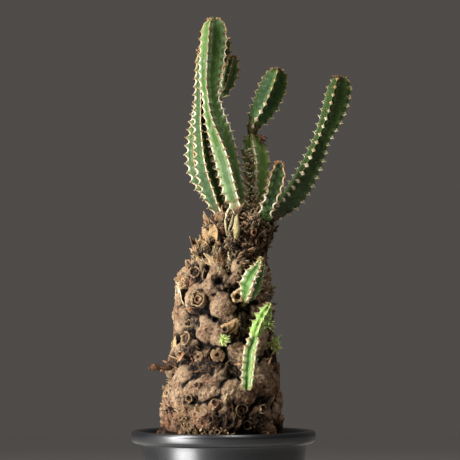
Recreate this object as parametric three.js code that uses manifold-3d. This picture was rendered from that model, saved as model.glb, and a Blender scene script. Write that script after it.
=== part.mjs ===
// Potted euphorbia: a lumpy woody caudex in a round nursery pot, crowned with four-angled stems.
// Millimetres, +Z up, origin at the centre of the pot's underside, photographed side facing -Y.
import * as THREE from 'three';
import Module from 'manifold-3d';

const wasm = await Module();
wasm.setup();

// Pot and soil.
const POT_HEIGHT = 130;
const RIM_RADIUS = 75;
const RIM_BAND = 10;
const WALL_RADIUS_TOP = 67;
const WALL_RADIUS_FOOT = 54;
const WALL = 2.4;
const POT_SIDES = 40;
const FLOOR_Z = 6.2;
const PAD_RADIUS = 20;
const DRAIN_CIRCLE = 34;
const DRAIN_RADIUS = 4.5;
const DRAIN_HOLES = 5;
const SOIL_TOP = 119;
const GAP = 0.35;

// Caudex: height, sideways shift of its axis, radius.
const CAUDEX = [
  [70, -2, 30], [84, -2.4, 42], [100, -2.5, 48.5], [118, -2.5, 48], [130, -2.5, 47], [154, -2.3, 44],
  [178, -0.3, 41.4], [203, 0.5, 38.2], [227, 0.3, 35.6], [243, 0.1, 36], [260, 0.6, 32.5],
  [276, 5.4, 28.5], [288, 10.7, 27.5], [298, 14.2, 26], [304, 15, 23], [307.5, 15, 17], [309.5, 15, 9],
];
const CAUDEX_SIDES = 48;
const ROW_STEP = 5.4;
const SEEDED_LUMPS = 120;
const SEEDED_SCARS = 9;

// Lumps seen on the photographed side: angle from the front in degrees, height, radius, rise.
const FRONT_LUMPS = [
  [-2, 230, 10, 5], [-24, 212, 10, 5], [-14, 262, 7, 4], [15, 254, 7, 3.5], [-62, 225, 7, 4],
  [-49, 175, 8, 4.5], [-51, 158, 10, 5.5], [-16, 165, 11, 6], [-14, 142, 11, 5.5], [54, 167, 11, 6],
  [46, 141, 11, 5.5], [-42, 243, 7, 4], [18, 191, 9, 4.5], [5, 217, 8, 3], [-63, 193, 8, 4],
  [12, 162, 10, 5], [-54, 139, 9, 4.5], [11, 140, 9, 4.5],
];
// Sunken places: angle, height, radius, depth.
const HOLLOWS = [
  [-44, 259, 5.5, 5], [-3, 249, 5, 5], [-33, 155, 4.5, 5], [-22, 260, 3.5, 4],
  [-35, 215, 4, 4], [-19, 189, 6, 5], [-9, 219, 3, 3],
];
// Pale cupped scars of shed branches: angle, height, radius.
const FRONT_SCARS = [
  [-30, 235, 7], [17, 237, 5], [-6, 191, 5.6], [-47, 204, 5.2], [31, 262, 4.6], [-5, 153, 5.4], [-60, 248, 4.6],
];

// Four-angled stems: points with rib radius, and the turn of the first rib from the front in degrees.
// A pair of turns is a stem that twists, from the first to the second.
const RIB_VALLEY = 0.55;
const TOOTH_PITCH = 6.8;
const TOOTH_DEPTH = 2.2;
const PEG_DEPTH = 8;
const SPINE_LENGTH = 3.4;
const SPINE_RADIUS = 0.55;
const STEMS = {
  stem_tall: { turn: [9, -24], path: [
    [14.5, -9, 304.5, 3.6], [12, -10, 312, 8.9], [8.5, -11, 324, 11.3], [4.5, -11, 340.5, 11.5],
    [1, -10, 356.5, 11.8], [-3.5, -9, 373, 11.8], [-8, -8, 388, 10.4], [-10, -8, 400, 8.8],
    [-10.5, -8, 411, 10.6], [-9.5, -8, 430.5, 11.9], [-8.5, -8, 447, 11.9], [-8, -8, 458, 9.8],
    [-8, -8, 465, 3.6],
  ] },
  stem_left: { turn: 6, path: [
    [1.5, -5, 301, 3.2], [-2, -5, 306, 6.1], [-5.5, -5, 313, 8.9], [-9.5, -5, 324.5, 10.4], [-14, -4.5, 338.5, 9.9],
    [-16.5, -3.5, 351.5, 8.8], [-18, -1.5, 365.5, 8], [-19, 1, 377.5, 7.3], [-19, 4, 390, 6.7], [-19, 6, 402, 6.1],
    [-19, 6.5, 412.5, 5.6], [-19, 6.5, 424, 5.1], [-19, 6.5, 434, 4.4], [-18.5, 6.5, 441.5, 2.1],
  ] },
  stem_rear: { turn: 0, path: [
    [6, 12, 306, 3.7], [-2, 13, 314.5, 6.6], [-13.5, 14.5, 326, 8.6], [-21.5, 13.5, 340, 8.7], [-24, 13.5, 353.5, 8.6],
    [-23.5, 15, 367.5, 8.1], [-22, 17.5, 379, 7.8], [-19.5, 20, 392, 7.3], [-15.5, 22, 405.5, 7.1], [-11, 23, 418.5, 7.3],
    [-6, 23.5, 431, 7.6], [-2.5, 23.5, 441, 7.8], [-0.5, 23.5, 448.5, 6.6], [0, 23.5, 454.5, 2.5],
  ] },
  stem_fork_lower: { turn: 0, path: [
    [25, 7, 305, 3.7], [25.5, 7, 314, 7], [26.5, 7, 325.5, 9.4], [28, 7, 338, 10.1], [28, 7, 348.5, 10.5],
    [26, 7, 358.5, 9.8], [24, 7, 366, 7.4], [23.5, 7, 371, 5.4],
  ] },
  stem_short: { turn: 38, path: [
    [34, -12, 298, 3.2], [34.5, -14, 302, 5.7], [36.5, -16, 310, 7.3], [39.5, -17, 319.5, 8.1],
    [42, -17, 328.5, 8.6], [44, -17, 336.5, 8.1], [45, -17, 342.5, 5.7], [45.5, -17, 346.5, 2.4],
  ] },
  stem_right: { turn: -23, path: [
    [36.5, 3, 302, 3.7], [41, 2, 305.5, 6.1], [47.5, 1, 310.5, 8.2], [54, 0, 316.5, 9.2], [61.5, -2, 326, 9.4],
    [69, -4, 339.5, 9.1], [75.5, -4, 354, 8.6], [79.5, -4, 364.5, 7.8], [83.5, -4, 373.5, 9.1],
    [88.5, -4, 385, 10.4], [93, -4, 398, 10.9], [95.5, -4, 408, 9.8], [96, -4, 414, 6.5], [96.5, -4, 418, 2.8],
  ] },
};
// Segments that grow from another stem's side or top.
const BRANCHES = {
  stem_fork_upper: { turn: 0, parent: 'stem_fork_lower', path: [
    [23.5, 7, 370, 3.2], [24, 7, 375.5, 4.6], [25.5, 7, 380, 7.6], [29.5, 7, 387, 10.2], [33.8, 7, 394.5, 11.6],
    [37.6, 7, 403, 12], [41.2, 7, 412, 11.4], [43.8, 7, 420.5, 8.4], [44.6, 7, 426, 3],
  ] },
  stem_rear_side: { turn: -10, parent: 'stem_rear', path: [
    [-15, 20, 404, 2.5], [-10.5, 17, 402, 3.6], [-4.5, 13, 403.5, 4.9], [1.5, 10, 408, 5.9], [5, 8, 415.5, 6.6],
    [7, 7.5, 423.5, 6.6], [8.5, 7, 431, 4.9], [8.5, 7, 436, 2.1],
  ] },
};
// Young shoots that hang on the trunk.
const FLANK_PATH = [
  [17.5, -32, 234, 2.5], [19.5, -37, 237.5, 6.3], [21, -40, 242.5, 9.5], [22, -41, 246.5, 10.3], [25, -41, 254, 8.9],
  [28.5, -40, 260, 6], [30, -39, 266, 3.5], [30.5, -39, 268.5, 1.9],
];
const HANGING_PATH = [
  [26, -31, 211, 3], [26.5, -38, 208, 4.8], [25, -42.5, 204, 5.8], [23.5, -46, 199, 6.5], [21.5, -48.5, 192.5, 7.1],
  [21, -50, 186.5, 7.4], [20, -52, 178, 7.2], [19.5, -53.5, 171, 6.4], [19, -54, 165.5, 3.9],
];
const RISING_PATH = [
  [27, -40, 206, 3], [28.5, -43.5, 212, 4], [30.5, -46, 218.5, 4.8], [33.5, -47, 224, 4.7], [35.5, -48, 228.5, 2.4],
];
// Small leafy tufts: angle, height, size, number of leaves.
const TUFTS = {
  bud_rosette: [-1, 203, 6.5, 8],
  tuft_upper_right: [58, 215, 7.5, 7],
  tuft_lower_right: [74, 199, 8, 8],
};

const COLOURS = {
  pot: [0x2b2d31, 0.45],
  soil: [0x2a211b, 0.95],
  caudex: [0x7a6350, 0.9],
  stem: [0x4f7a3a, 0.55],
  shoot: [0x6f9c45, 0.55],
  tuft: [0x5f9440, 0.6],
  spindle: [0xb3a67c, 0.8],
};

let seed = 20413;
function random() {
  seed = (seed * 1664525 + 1013904223) % 4294967296;
  return seed / 4294967296;
}
function between(low, high) {
  return low + (high - low) * random();
}
function smooth(low, high, value) {
  return THREE.MathUtils.smoothstep(value, low, high);
}
function rad(degrees) {
  return degrees * Math.PI / 180;
}

// Joins rings of points into one closed solid, wound right-handed about the way the rings run.
function solidFromRings(rings, hub = true) {
  const count = rings[0].length;
  const points = rings.flat();
  const faces = [];
  for (let i = 0; i + 1 < rings.length; i += 1) {
    for (let j = 0; j < count; j += 1) {
      const a = i * count + j;
      const b = i * count + (j + 1) % count;
      faces.push(a, b, b + count, a, b + count, a + count);
    }
  }
  const last = (rings.length - 1) * count;
  if (hub) {
    const middle = (ring) => ring.reduce((sum, p) => sum.add(p), new THREE.Vector3()).divideScalar(count);
    points.push(middle(rings[0]), middle(rings[rings.length - 1]));
    for (let j = 0; j < count; j += 1) {
      const next = (j + 1) % count;
      faces.push(points.length - 2, next, j);
      faces.push(points.length - 1, last + j, last + next);
    }
  } else {
    for (let j = 1; j + 1 < count; j += 1) {
      faces.push(0, j + 1, j);
      faces.push(last, last + j, last + j + 1);
    }
  }
  return manifold(points, faces);
}

function manifold(points, faces) {
  const vertProperties = new Float32Array(points.flatMap((p) => [p.x, p.y, p.z]));
  return new wasm.Manifold(new wasm.Mesh({ numProp: 3, vertProperties, triVerts: new Uint32Array(faces) }));
}

// The largest outer skin of a solid, without pockets closed in by overlapping flakes.
function outerSkin(solid) {
  const { vertProperties, triVerts } = solid.getMesh();
  const parent = Array.from({ length: vertProperties.length / 3 }, (_, i) => i);
  const find = (i) => {
    let top = i;
    while (parent[top] !== top) top = parent[top];
    parent[i] = top;
    return top;
  };
  for (let i = 0; i < triVerts.length; i += 3) {
    parent[find(triVerts[i])] = find(triVerts[i + 1]);
    parent[find(triVerts[i + 1])] = find(triVerts[i + 2]);
  }
  const skins = new Map();
  for (let i = 0; i < triVerts.length; i += 3) {
    const top = find(triVerts[i]);
    skins.set(top, [...(skins.get(top) ?? []), triVerts[i], triVerts[i + 1], triVerts[i + 2]]);
  }
  const faces = [...skins.values()].sort((a, b) => b.length - a.length)[0];
  const used = [...new Set(faces)];
  const place = new Map(used.map((vertex, i) => [vertex, i]));
  const points = used.map((vertex) => new THREE.Vector3().fromArray(vertProperties, vertex * 3));
  return manifold(points, faces.map((vertex) => place.get(vertex)));
}

function circle(centre, side, other, radius, sides) {
  return Array.from({ length: sides }, (_, j) => centre.clone()
    .addScaledVector(side, radius * Math.cos(2 * Math.PI * j / sides))
    .addScaledVector(other, radius * Math.sin(2 * Math.PI * j / sides)));
}

// A turned solid; its first corner faces -Y.
function lathe(profile, sides) {
  const front = new THREE.Vector3(0, -1, 0);
  const right = new THREE.Vector3(1, 0, 0);
  return solidFromRings(profile.map(([radius, z, shift = 0]) => circle(new THREE.Vector3(shift, 0, z), front, right, radius, sides)));
}

// Three-sided needles gathered into one solid.
class Needles {
  constructor() {
    this.points = [];
    this.faces = [];
  }

  add(root, tip, radius) {
    const way = tip.clone().sub(root).normalize();
    const side = new THREE.Vector3(0, 0, 1).cross(way);
    if (side.length() < 0.2) side.set(1, 0, 0).cross(way);
    side.normalize();
    const other = way.clone().cross(side);
    const first = this.points.length;
    for (let k = 0; k < 3; k += 1) {
      const angle = 2 * Math.PI * k / 3;
      this.points.push(root.clone()
        .addScaledVector(side, radius * Math.cos(angle))
        .addScaledVector(other, radius * Math.sin(angle)));
    }
    this.points.push(tip);
    this.faces.push(first, first + 2, first + 1);
    for (let k = 0; k < 3; k += 1) this.faces.push(first + k, first + (k + 1) % 3, first + 3);
  }

  joinedTo(body) {
    return this.points.length ? body.add(manifold(this.points, this.faces)) : body;
  }
}

// Position, frame and rib radius along a stem; the first point is carried on backwards as a root peg.
function stemLine(path, peg = PEG_DEPTH) {
  const points = path.map(([x, y, z]) => new THREE.Vector3(x, y, z));
  const back = points[0].clone().sub(points[1]).setLength(peg);
  const nodes = [points[0].clone().add(back), ...points];
  const radii = [path[0][3], ...path.map((p) => p[3])];
  const curve = new THREE.CatmullRomCurve3(nodes, false, 'centripetal');
  curve.arcLengthDivisions = 400;
  const length = curve.getLength();
  return {
    length,
    at(s) {
      const u = Math.min(1, Math.max(0, s / length));
      const t = curve.getUtoTmapping(u) * (nodes.length - 1);
      const i = Math.min(nodes.length - 2, Math.floor(t));
      const radius = THREE.MathUtils.lerp(radii[i], radii[i + 1], smooth(0, 1, t - i) * 0.4 + (t - i) * 0.6);
      const way = curve.getTangentAt(u);
      const front = new THREE.Vector3(0, -1, 0);
      if (Math.abs(way.y) > 0.8) front.set(1, 0, 0);
      front.addScaledVector(way, -front.dot(way)).normalize();
      return { point: curve.getPointAt(u), way, front, side: way.clone().cross(front), radius };
    },
  };
}

function ringAt(place, turn, rib, valley) {
  const ring = [];
  for (let k = 0; k < 8; k += 1) {
    const angle = rad(turn + 45 * k);
    const reach = k % 2 ? valley : rib;
    ring.push(place.point.clone()
      .addScaledVector(place.front, reach * Math.cos(angle))
      .addScaledVector(place.side, reach * Math.sin(angle)));
  }
  return ring;
}

// A four-angled stem with toothed margins and spines; grow swells it into the socket that holds it.
function stem({ path, turn, peg, pitch = TOOTH_PITCH, depth = TOOTH_DEPTH, every = 4, spine = SPINE_LENGTH }, grow = 0) {
  const line = stemLine(path, peg);
  const ribbed = (peg ?? PEG_DEPTH) + 4;
  const teeth = Math.round((line.length - ribbed) / pitch);
  const step = (line.length - ribbed) / teeth;
  const rings = [];
  const needles = new Needles();
  const rows = [0, ribbed - 4, ribbed];
  const [foot, tip = foot] = [turn].flat();
  const turnAt = (s) => THREE.MathUtils.lerp(foot, tip, smooth(0.25, 0.55, s / line.length));
  for (let i = 0; i < teeth; i += 1) rows.push(ribbed + (i + 0.45) * step, ribbed + (i + 1) * step);
  rows.forEach((s, row) => {
    const place = line.at(s);
    const open = smooth(ribbed - 5, ribbed + 8, s);
    const tooth = row > 2 && row % 2 === 1;
    const rib = place.radius - (tooth ? 0 : depth * open) + grow;
    const valley = place.radius * THREE.MathUtils.lerp(1, RIB_VALLEY, open) + grow;
    rings.push(ringAt(place, turnAt(s), rib, valley));
    const number = (row - 3) / 2;
    if (grow || !tooth || number < 2) return;
    for (let k = 0; k < 4; k += 1) {
      if ((number + k) % every) continue;
      const angle = rad(turnAt(s) + 90 * k);
      const out = place.front.clone().multiplyScalar(Math.cos(angle)).addScaledVector(place.side, Math.sin(angle));
      const across = place.way.clone().cross(out).multiplyScalar(number % (2 * every) < every ? 0.55 : -0.55);
      const lean = out.clone().add(across).addScaledVector(place.way, 0.25).normalize();
      const root = place.point.clone().addScaledVector(out, rib - 2.4);
      needles.add(root, root.clone().addScaledVector(lean, 2 + spine), SPINE_RADIUS);
    }
  });
  if (grow) {
    const start = line.at(0);
    rings.unshift(ringAt({ ...start, point: start.point.clone().addScaledVector(start.way, -grow) }, foot,
      start.radius + grow, start.radius + grow));
  }
  return needles.joinedTo(solidFromRings(rings));
}

// Trunk surface.
function profileAt(z) {
  let i = 0;
  while (i + 2 < CAUDEX.length && z > CAUDEX[i + 1][0]) i += 1;
  const t = (z - CAUDEX[i][0]) / (CAUDEX[i + 1][0] - CAUDEX[i][0]);
  return [THREE.MathUtils.lerp(CAUDEX[i][1], CAUDEX[i + 1][1], t), THREE.MathUtils.lerp(CAUDEX[i][2], CAUDEX[i + 1][2], t)];
}
function awayFrom(angle, z, spot) {
  let turn = angle - spot[0];
  turn -= 360 * Math.round(turn / 360);
  return Math.hypot(rad(turn) * 40, z - spot[1]);
}

const lumps = [...FRONT_LUMPS];
const scars = [...FRONT_SCARS];
for (let i = 0; i < SEEDED_SCARS; i += 1) {
  scars.push([75 + (i * 61.8) % 210, 138 + 158 * ((i * 0.618) % 1) * 0.85, between(4, 6)]);
}
for (let i = 0; i < SEEDED_LUMPS; i += 1) {
  const angle = (i * 137.508) % 360 + between(-9, 9);
  const z = 122 + 176 * (i + 0.5) / SEEDED_LUMPS + between(-5, 5);
  const clear = [...FRONT_LUMPS, ...scars].every((spot) => awayFrom(angle, z, spot) > spot[2] * 0.8);
  if (clear) lumps.push([angle, z, between(7.5, 11.5), between(4, 7)]);
}

function trunkRadius(angle, z) {
  let rise = 0;
  for (const lump of lumps) {
    const away = awayFrom(angle, z, lump) / lump[2];
    if (away < 1) rise = Math.max(rise, lump[3] * Math.sqrt(1 - away * away));
  }
  for (const hollow of HOLLOWS) {
    const away = awayFrom(angle, z, hollow) / hollow[2];
    rise -= hollow[3] * Math.exp(-away * away * 1.4);
  }
  for (const scar of scars) {
    const away = awayFrom(angle, z, scar) / scar[2];
    rise = THREE.MathUtils.lerp(rise, 2.4, 1 - smooth(0.95, 1.7, away));
  }
  const [, radius] = profileAt(z);
  return radius + rise * smooth(119, 127, z) * (1 - smooth(303, 309, z));
}
function onTrunk(angle, z, out = 0) {
  const [shift] = profileAt(z);
  const radius = trunkRadius(angle, z) + out;
  return new THREE.Vector3(shift + radius * Math.sin(rad(angle)), -radius * Math.cos(rad(angle)), z);
}
function outward(angle, z) {
  const up = onTrunk(angle, z + 4).sub(onTrunk(angle, z - 4));
  const round = onTrunk(angle + 5, z).sub(onTrunk(angle - 5, z));
  const level = new THREE.Vector3(Math.sin(rad(angle)), -Math.cos(rad(angle)), 0);
  return round.cross(up).normalize().add(level).normalize();
}

function trunkBody() {
  const heights = [70, 84, 100, 112, 118.5, 119.5];
  const rows = Math.round((303 - 123) / ROW_STEP);
  for (let i = 0; i <= rows; i += 1) heights.push(123 + (303 - 123) * i / rows);
  heights.push(306, 308, 309.5);
  return solidFromRings(heights.map((z) => {
    const ring = [];
    for (let j = 0; j < CAUDEX_SIDES; j += 1) ring.push(onTrunk(360 * j / CAUDEX_SIDES, z));
    return ring;
  }));
}

// A shed branch's scar: a short flared cup with a pit.
function scarCup([angle, z, radius]) {
  const middle = onTrunk(angle, z);
  const way = outward(angle, z);
  const side = new THREE.Vector3(0, 0, 1).cross(way).normalize();
  const other = way.clone().cross(side);
  const profile = [[0.8, -3], [1, 2], [0.62, 2.7], [0.42, 0.5]];
  return solidFromRings(profile.map(([reach, height]) => (
    circle(middle.clone().addScaledVector(way, height), side, other, radius * reach, 8)
  )));
}

// A papery bark flake: a tapered plate with its root sunk in the trunk.
function flake(angle, z, length, width, lift, roll) {
  const out = outward(angle, z);
  const root = onTrunk(angle, z, -2.5);
  const up = new THREE.Vector3(0, 0, 1).addScaledVector(out, -out.z).normalize();
  const around = up.clone().applyAxisAngle(out, roll);
  const way = out.clone().multiplyScalar(Math.sin(lift)).addScaledVector(around, Math.cos(lift)).normalize();
  const side = out.clone().cross(way).normalize();
  const normal = way.clone().cross(side);
  const rings = [[0, 1, 1.1], [1, 0.55, 0.8]].map(([along, wide, thick]) => [[-1, -1], [1, -1], [1, 1], [-1, 1]]
    .map(([a, b]) => root.clone()
      .addScaledVector(way, (length + 2.5) * along)
      .addScaledVector(side, a * width * wide / 2)
      .addScaledVector(normal, b * thick / 2 + 1.2 * along * along)));
  return solidFromRings(rings, false);
}

function potSolid() {
  const band = POT_HEIGHT - RIM_BAND;
  const body = lathe([
    [PAD_RADIUS, 0], [PAD_RADIUS + 3, 3], [WALL_RADIUS_FOOT - 6, 3], [WALL_RADIUS_FOOT - 4, 0], [WALL_RADIUS_FOOT - 1.5, 0],
    [WALL_RADIUS_FOOT, 2], [WALL_RADIUS_TOP, band - 1.5], [WALL_RADIUS_TOP, band], [RIM_RADIUS - 2.6, band + 0.4],
    [RIM_RADIUS - 0.6, band + 2.4], [RIM_RADIUS, POT_HEIGHT - 2.2], [RIM_RADIUS - 2.4, POT_HEIGHT],
    [RIM_RADIUS - 6.4, POT_HEIGHT - 1.2], [WALL_RADIUS_TOP - WALL, band - 2],
    [WALL_RADIUS_FOOT - WALL + 0.3, FLOOR_Z],
  ], POT_SIDES);
  let pot = body;
  for (let i = 0; i < DRAIN_HOLES; i += 1) {
    const angle = 2 * Math.PI * (i + 0.5) / DRAIN_HOLES;
    const hole = [-1, FLOOR_Z + 1].map((z) => circle(
      new THREE.Vector3(DRAIN_CIRCLE * Math.cos(angle), DRAIN_CIRCLE * Math.sin(angle), z),
      new THREE.Vector3(1, 0, 0), new THREE.Vector3(0, 1, 0), DRAIN_RADIUS, 10,
    ));
    pot = pot.subtract(solidFromRings(hole));
  }
  return pot;
}

function soilSolid() {
  const slope = (WALL_RADIUS_TOP - WALL - (WALL_RADIUS_FOOT - WALL + 0.3)) / (POT_HEIGHT - RIM_BAND - 2 - FLOOR_Z);
  const wallAt = (z) => WALL_RADIUS_FOOT - WALL + 0.3 + slope * (z - FLOOR_Z) - GAP;
  const block = lathe([
    [wallAt(FLOOR_Z + GAP), FLOOR_Z + GAP], [wallAt(SOIL_TOP - 3), SOIL_TOP - 3], [58, SOIL_TOP],
  ], POT_SIDES);
  const root = CAUDEX.filter(([z]) => z <= 118).map(([z, shift, radius], i) => [radius + 0.7, i ? z : z - 0.5, shift]);
  root.push([root[root.length - 1][0], 132, root[root.length - 1][2]]);
  return block.subtract(lathe(root, CAUDEX_SIDES / 2));
}

// A tuft: a low boss on a root peg, with leaves spread from it.
function tuftParts([angle, z, size, leaves]) {
  const way = outward(angle, z);
  const middle = onTrunk(angle, z, -1);
  const side = new THREE.Vector3(0, 0, 1).cross(way).normalize();
  const other = way.clone().cross(side);
  const boss = (grow) => solidFromRings([[-5, 1.7], [0, 1.9], [2.4, 2.6], [4.4, 1.7]].map(([height, radius], i) => (
    circle(middle.clone().addScaledVector(way, height - (i ? 0 : grow)), side, other, radius + grow, 8)
  )));
  let plant = boss(0);
  const heart = middle.clone().addScaledVector(way, 2.8);
  for (let i = 0; i < leaves; i += 1) {
    const turn = 2.399 * i;
    const spread = i === 0 ? 0 : 0.55 + 0.75 * i / leaves;
    const lean = way.clone().multiplyScalar(Math.cos(spread))
      .addScaledVector(side, Math.sin(spread) * Math.cos(turn))
      .addScaledVector(other, Math.sin(spread) * Math.sin(turn));
    const leaf = new Needles();
    leaf.add(heart.clone().addScaledVector(lean, 0.4), heart.clone().addScaledVector(lean, size), 0.95);
    plant = leaf.joinedTo(plant);
  }
  return { plant, socket: boss(GAP) };
}

const solids = {};
const sockets = [];
for (const [name, spec] of Object.entries(STEMS)) {
  solids[name] = stem(spec);
  sockets.push(stem(spec, GAP));
}
for (const [name, spec] of Object.entries(BRANCHES)) {
  const rooted = { ...spec, peg: 5 };
  solids[name] = stem(rooted);
  solids[spec.parent] = solids[spec.parent].subtract(stem(rooted, GAP));
}
const flank = { path: FLANK_PATH, turn: 3, peg: 5, pitch: 4.6, depth: 1.4, every: 3, spine: 2.6 };
solids.shoot_flank = stem(flank);
sockets.push(stem(flank, GAP));
const hanging = { path: HANGING_PATH, turn: -18, peg: 5, pitch: 5.8, depth: 1.5, every: 4, spine: 2.4 };
const rising = { path: RISING_PATH, turn: 0, peg: 1, pitch: 4, depth: 0.9, every: 2, spine: 5.2 };
solids.shoot_hanging = stem(hanging).add(stem(rising));
sockets.push(stem(hanging, GAP), stem(rising, GAP));
for (const [name, spec] of Object.entries(TUFTS)) {
  const { plant, socket } = tuftParts(spec);
  solids[name] = plant;
  sockets.push(socket);
}

let caudex = trunkBody();
for (const scar of scars) caudex = caudex.add(scarCup(scar));
for (let i = 0; i < 30; i += 1) {
  const angle = 137.508 * i + between(-14, 14);
  const z = between(264, 303);
  caudex = caudex.add(flake(angle, z, between(5, 10), between(4, 8), between(0.35, 1.1), between(-0.8, 0.8)));
}
for (let i = 0; i < 20; i += 1) {
  const angle = 137.508 * i + 40 + between(-14, 14);
  const z = 128 + 132 * (i + 0.5) / 20;
  caudex = caudex.add(flake(angle, z, between(2.5, 5), between(3, 7), between(0.3, 0.9), between(-1.4, 1.4)));
}
const twig = [[-4, 2.4], [9.5, 2.5], [11.5, 1.6]].map(([out, radius]) => circle(
  onTrunk(-86, 180, out), new THREE.Vector3(0, -1, 0), new THREE.Vector3(0, 0, 1), radius, 6,
));
caudex = caudex.add(solidFromRings(twig));
const spindle = [[284, -3, 1.2], [287, 1.6, 1.6], [292, 3.4, 2.3], [297, 4, 1.9], [301, 3.4, 0.7]].map(([z, out, radius]) => circle(
  onTrunk(-4, 284, out).setZ(z), new THREE.Vector3(1, 0, 0), new THREE.Vector3(0, 1, 0), radius, 6,
));
caudex = caudex.add(solidFromRings(spindle));
for (const socket of sockets) caudex = caudex.subtract(socket);
solids.caudex = caudex;
solids.pot = potSolid();
solids.soil = soilSolid();

const group = new THREE.Group();
group.name = 'potted_euphorbia';
for (const name of Object.keys(solids).sort()) {
  const { vertProperties, triVerts } = outerSkin(solids[name]).getMesh();
  const geometry = new THREE.BufferGeometry();
  geometry.setAttribute('position', new THREE.BufferAttribute(new Float32Array(vertProperties), 3));
  geometry.setIndex(new THREE.BufferAttribute(new Uint32Array(triVerts), 1));
  const kind = name.split('_')[0];
  const [color, roughness] = COLOURS[kind] ?? COLOURS.tuft;
  const mesh = new THREE.Mesh(geometry, new THREE.MeshStandardMaterial({ color, roughness, metalness: 0 }));
  mesh.name = name;
  group.add(mesh);
}

export default group;
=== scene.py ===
"""Potted euphorbia with a lumpy woody caudex and four-angled toothed stems.

Tables are in millimetres and shapes are built in millimetres; a finished piece is in metres.
+Z is up, the photographed side faces -Y, and angles on the trunk are degrees from -Y towards +X.
"""

import math

import bmesh
import bpy
import numpy as np
from bpy.props import FloatProperty, FloatVectorProperty, IntProperty, PointerProperty
from mathutils import Matrix, Vector, noise


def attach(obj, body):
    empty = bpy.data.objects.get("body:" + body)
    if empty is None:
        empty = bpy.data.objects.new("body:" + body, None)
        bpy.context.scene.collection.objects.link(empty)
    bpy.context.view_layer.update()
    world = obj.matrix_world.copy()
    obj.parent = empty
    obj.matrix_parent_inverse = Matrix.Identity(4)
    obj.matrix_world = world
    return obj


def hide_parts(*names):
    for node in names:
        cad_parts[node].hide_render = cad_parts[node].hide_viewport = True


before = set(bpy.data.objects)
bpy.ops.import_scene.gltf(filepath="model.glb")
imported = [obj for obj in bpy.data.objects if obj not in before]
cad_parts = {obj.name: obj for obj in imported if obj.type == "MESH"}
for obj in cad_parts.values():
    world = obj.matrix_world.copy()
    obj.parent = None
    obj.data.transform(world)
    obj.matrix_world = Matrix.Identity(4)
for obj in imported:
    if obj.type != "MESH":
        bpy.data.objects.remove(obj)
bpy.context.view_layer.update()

bl_info = {
    "name": "Potted euphorbia",
    "version": (1, 0, 0),
    "blender": (4, 5, 0),
    "location": "3D View > Sidebar > Euphorbia",
    "description": "Builds a potted caudex euphorbia: pot, soil, trunk, stems, shoots and studio",
    "category": "Object",
}

MM = 0.001
# How many small pieces are spread: bark flakes and pegs where debris covers the trunk, crumbs on its twig and
# on the soil, and dry bits at the fork and in its dead bud.
FLAKE_SPOTS, PEG_SPOTS, TWIG_CRUMBS, SOIL_CRUMBS, FORK_BITS, BUD_BITS = 2600, 2600, 26, 420, 190, 46
# Steps of the golden angle spread things evenly round the trunk and up it.
GOLDEN_TURN, GOLDEN_RADIANS, GOLDEN_SHARE = 137.508, 2.399, 0.618034

# The photograph's view: picture width and focal length in pixels, and the camera's place and upward tilt.
PICTURE_PIXELS, FOCAL_PIXELS = 460, 1846
CAMERA_SIDE, CAMERA_HEIGHT, CAMERA_TILT = 5.4, 200, 3.52

# Pot and soil.
FLOOR_Z = 6.2
SOIL_TOP = 119
WALL_PROFILE = [
    (0, 0), (20, 0), (23, 3), (48, 3), (50, 0), (52.5, 0), (54, 2), (66.6, 114.5), (66.6, 119.4),
    (72.4, 120.2), (74.4, 122.2), (75, 127.2), (73.4, 129.8), (70.6, 130), (68.4, 128.6), (64.6, 118),
    (51.9, 6.2), (0, 6.2),
]
DRAIN_CIRCLE = 34
DRAIN_RADIUS = 4.5
DRAIN_HOLES = 5

# Mean radius of the trunk, which turns an angle into a distance along the bark.
BARK_RADIUS = 40
# Middle of the folded crust at the trunk's lower left, as angle and height, and how far it is free of debris.
FOLDED_CRUST, FOLDED_REACH = (-60, 139), 10.5
# Caudex: height, sideways shift of its axis, radius.
CAUDEX = np.array([
    (70, -2, 30), (84, -2.4, 42), (100, -2.5, 48.5), (118, -2.5, 48), (130, -2.5, 47), (154, -2.3, 44),
    (178, -0.3, 41.4), (203, 0.5, 38.2), (227, 0.3, 35.6), (243, 0.1, 36), (260, 0.6, 32.5),
    (276, 5.4, 28.5), (288, 10.7, 27.5), (298, 14.2, 26), (304, 15, 23), (307.5, 15, 17), (309.5, 15, 9),
])
# Lumps seen on the photographed side: angle, height, radius, rise.
FRONT_LUMPS = [
    (-2, 230, 10, 5), (-24, 212, 10, 5), (-14, 262, 7, 4), (15, 254, 7, 3.5), (-62, 225, 7, 4),
    (-49, 175, 8, 4.5), (-51, 158, 10, 5.5), (-16, 165, 11, 6), (-14, 142, 11, 5.5), (54, 167, 11, 6),
    (46, 141, 11, 5.5), (-42, 243, 7, 4), (18, 191, 9, 4.5), (5, 217, 8, 3), (-63, 193, 8, 4),
    (12, 162, 10, 5), (-54, 139, 9, 4.5), (11, 140, 9, 4.5),
]
# Sunken places: angle, height, radius, depth.
HOLLOWS = [
    (-44, 259, 5.5, 5), (-3, 249, 5, 5), (-33, 155, 4.5, 5), (-22, 260, 3.5, 4), (-35, 215, 4, 4),
    (-19, 189, 6, 5), (-9, 219, 3, 3), (-80, 282, 18, 2.6), (-74, 256, 9, 2), (-53, 283, 5, 5),
    (-27, 281, 5, 4), (-64, 268, 4, 3), (80, 273, 12, 3.4),
]
# Scars of shed branches: angle, height, radius.
FRONT_SCARS = [
    (-30, 235, 7), (17, 237, 5), (-6, 191, 5.6), (-47, 204, 5.2), (31, 262, 4.6), (-5, 153, 5.4),
    (-60, 248, 4.6),
]
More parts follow.
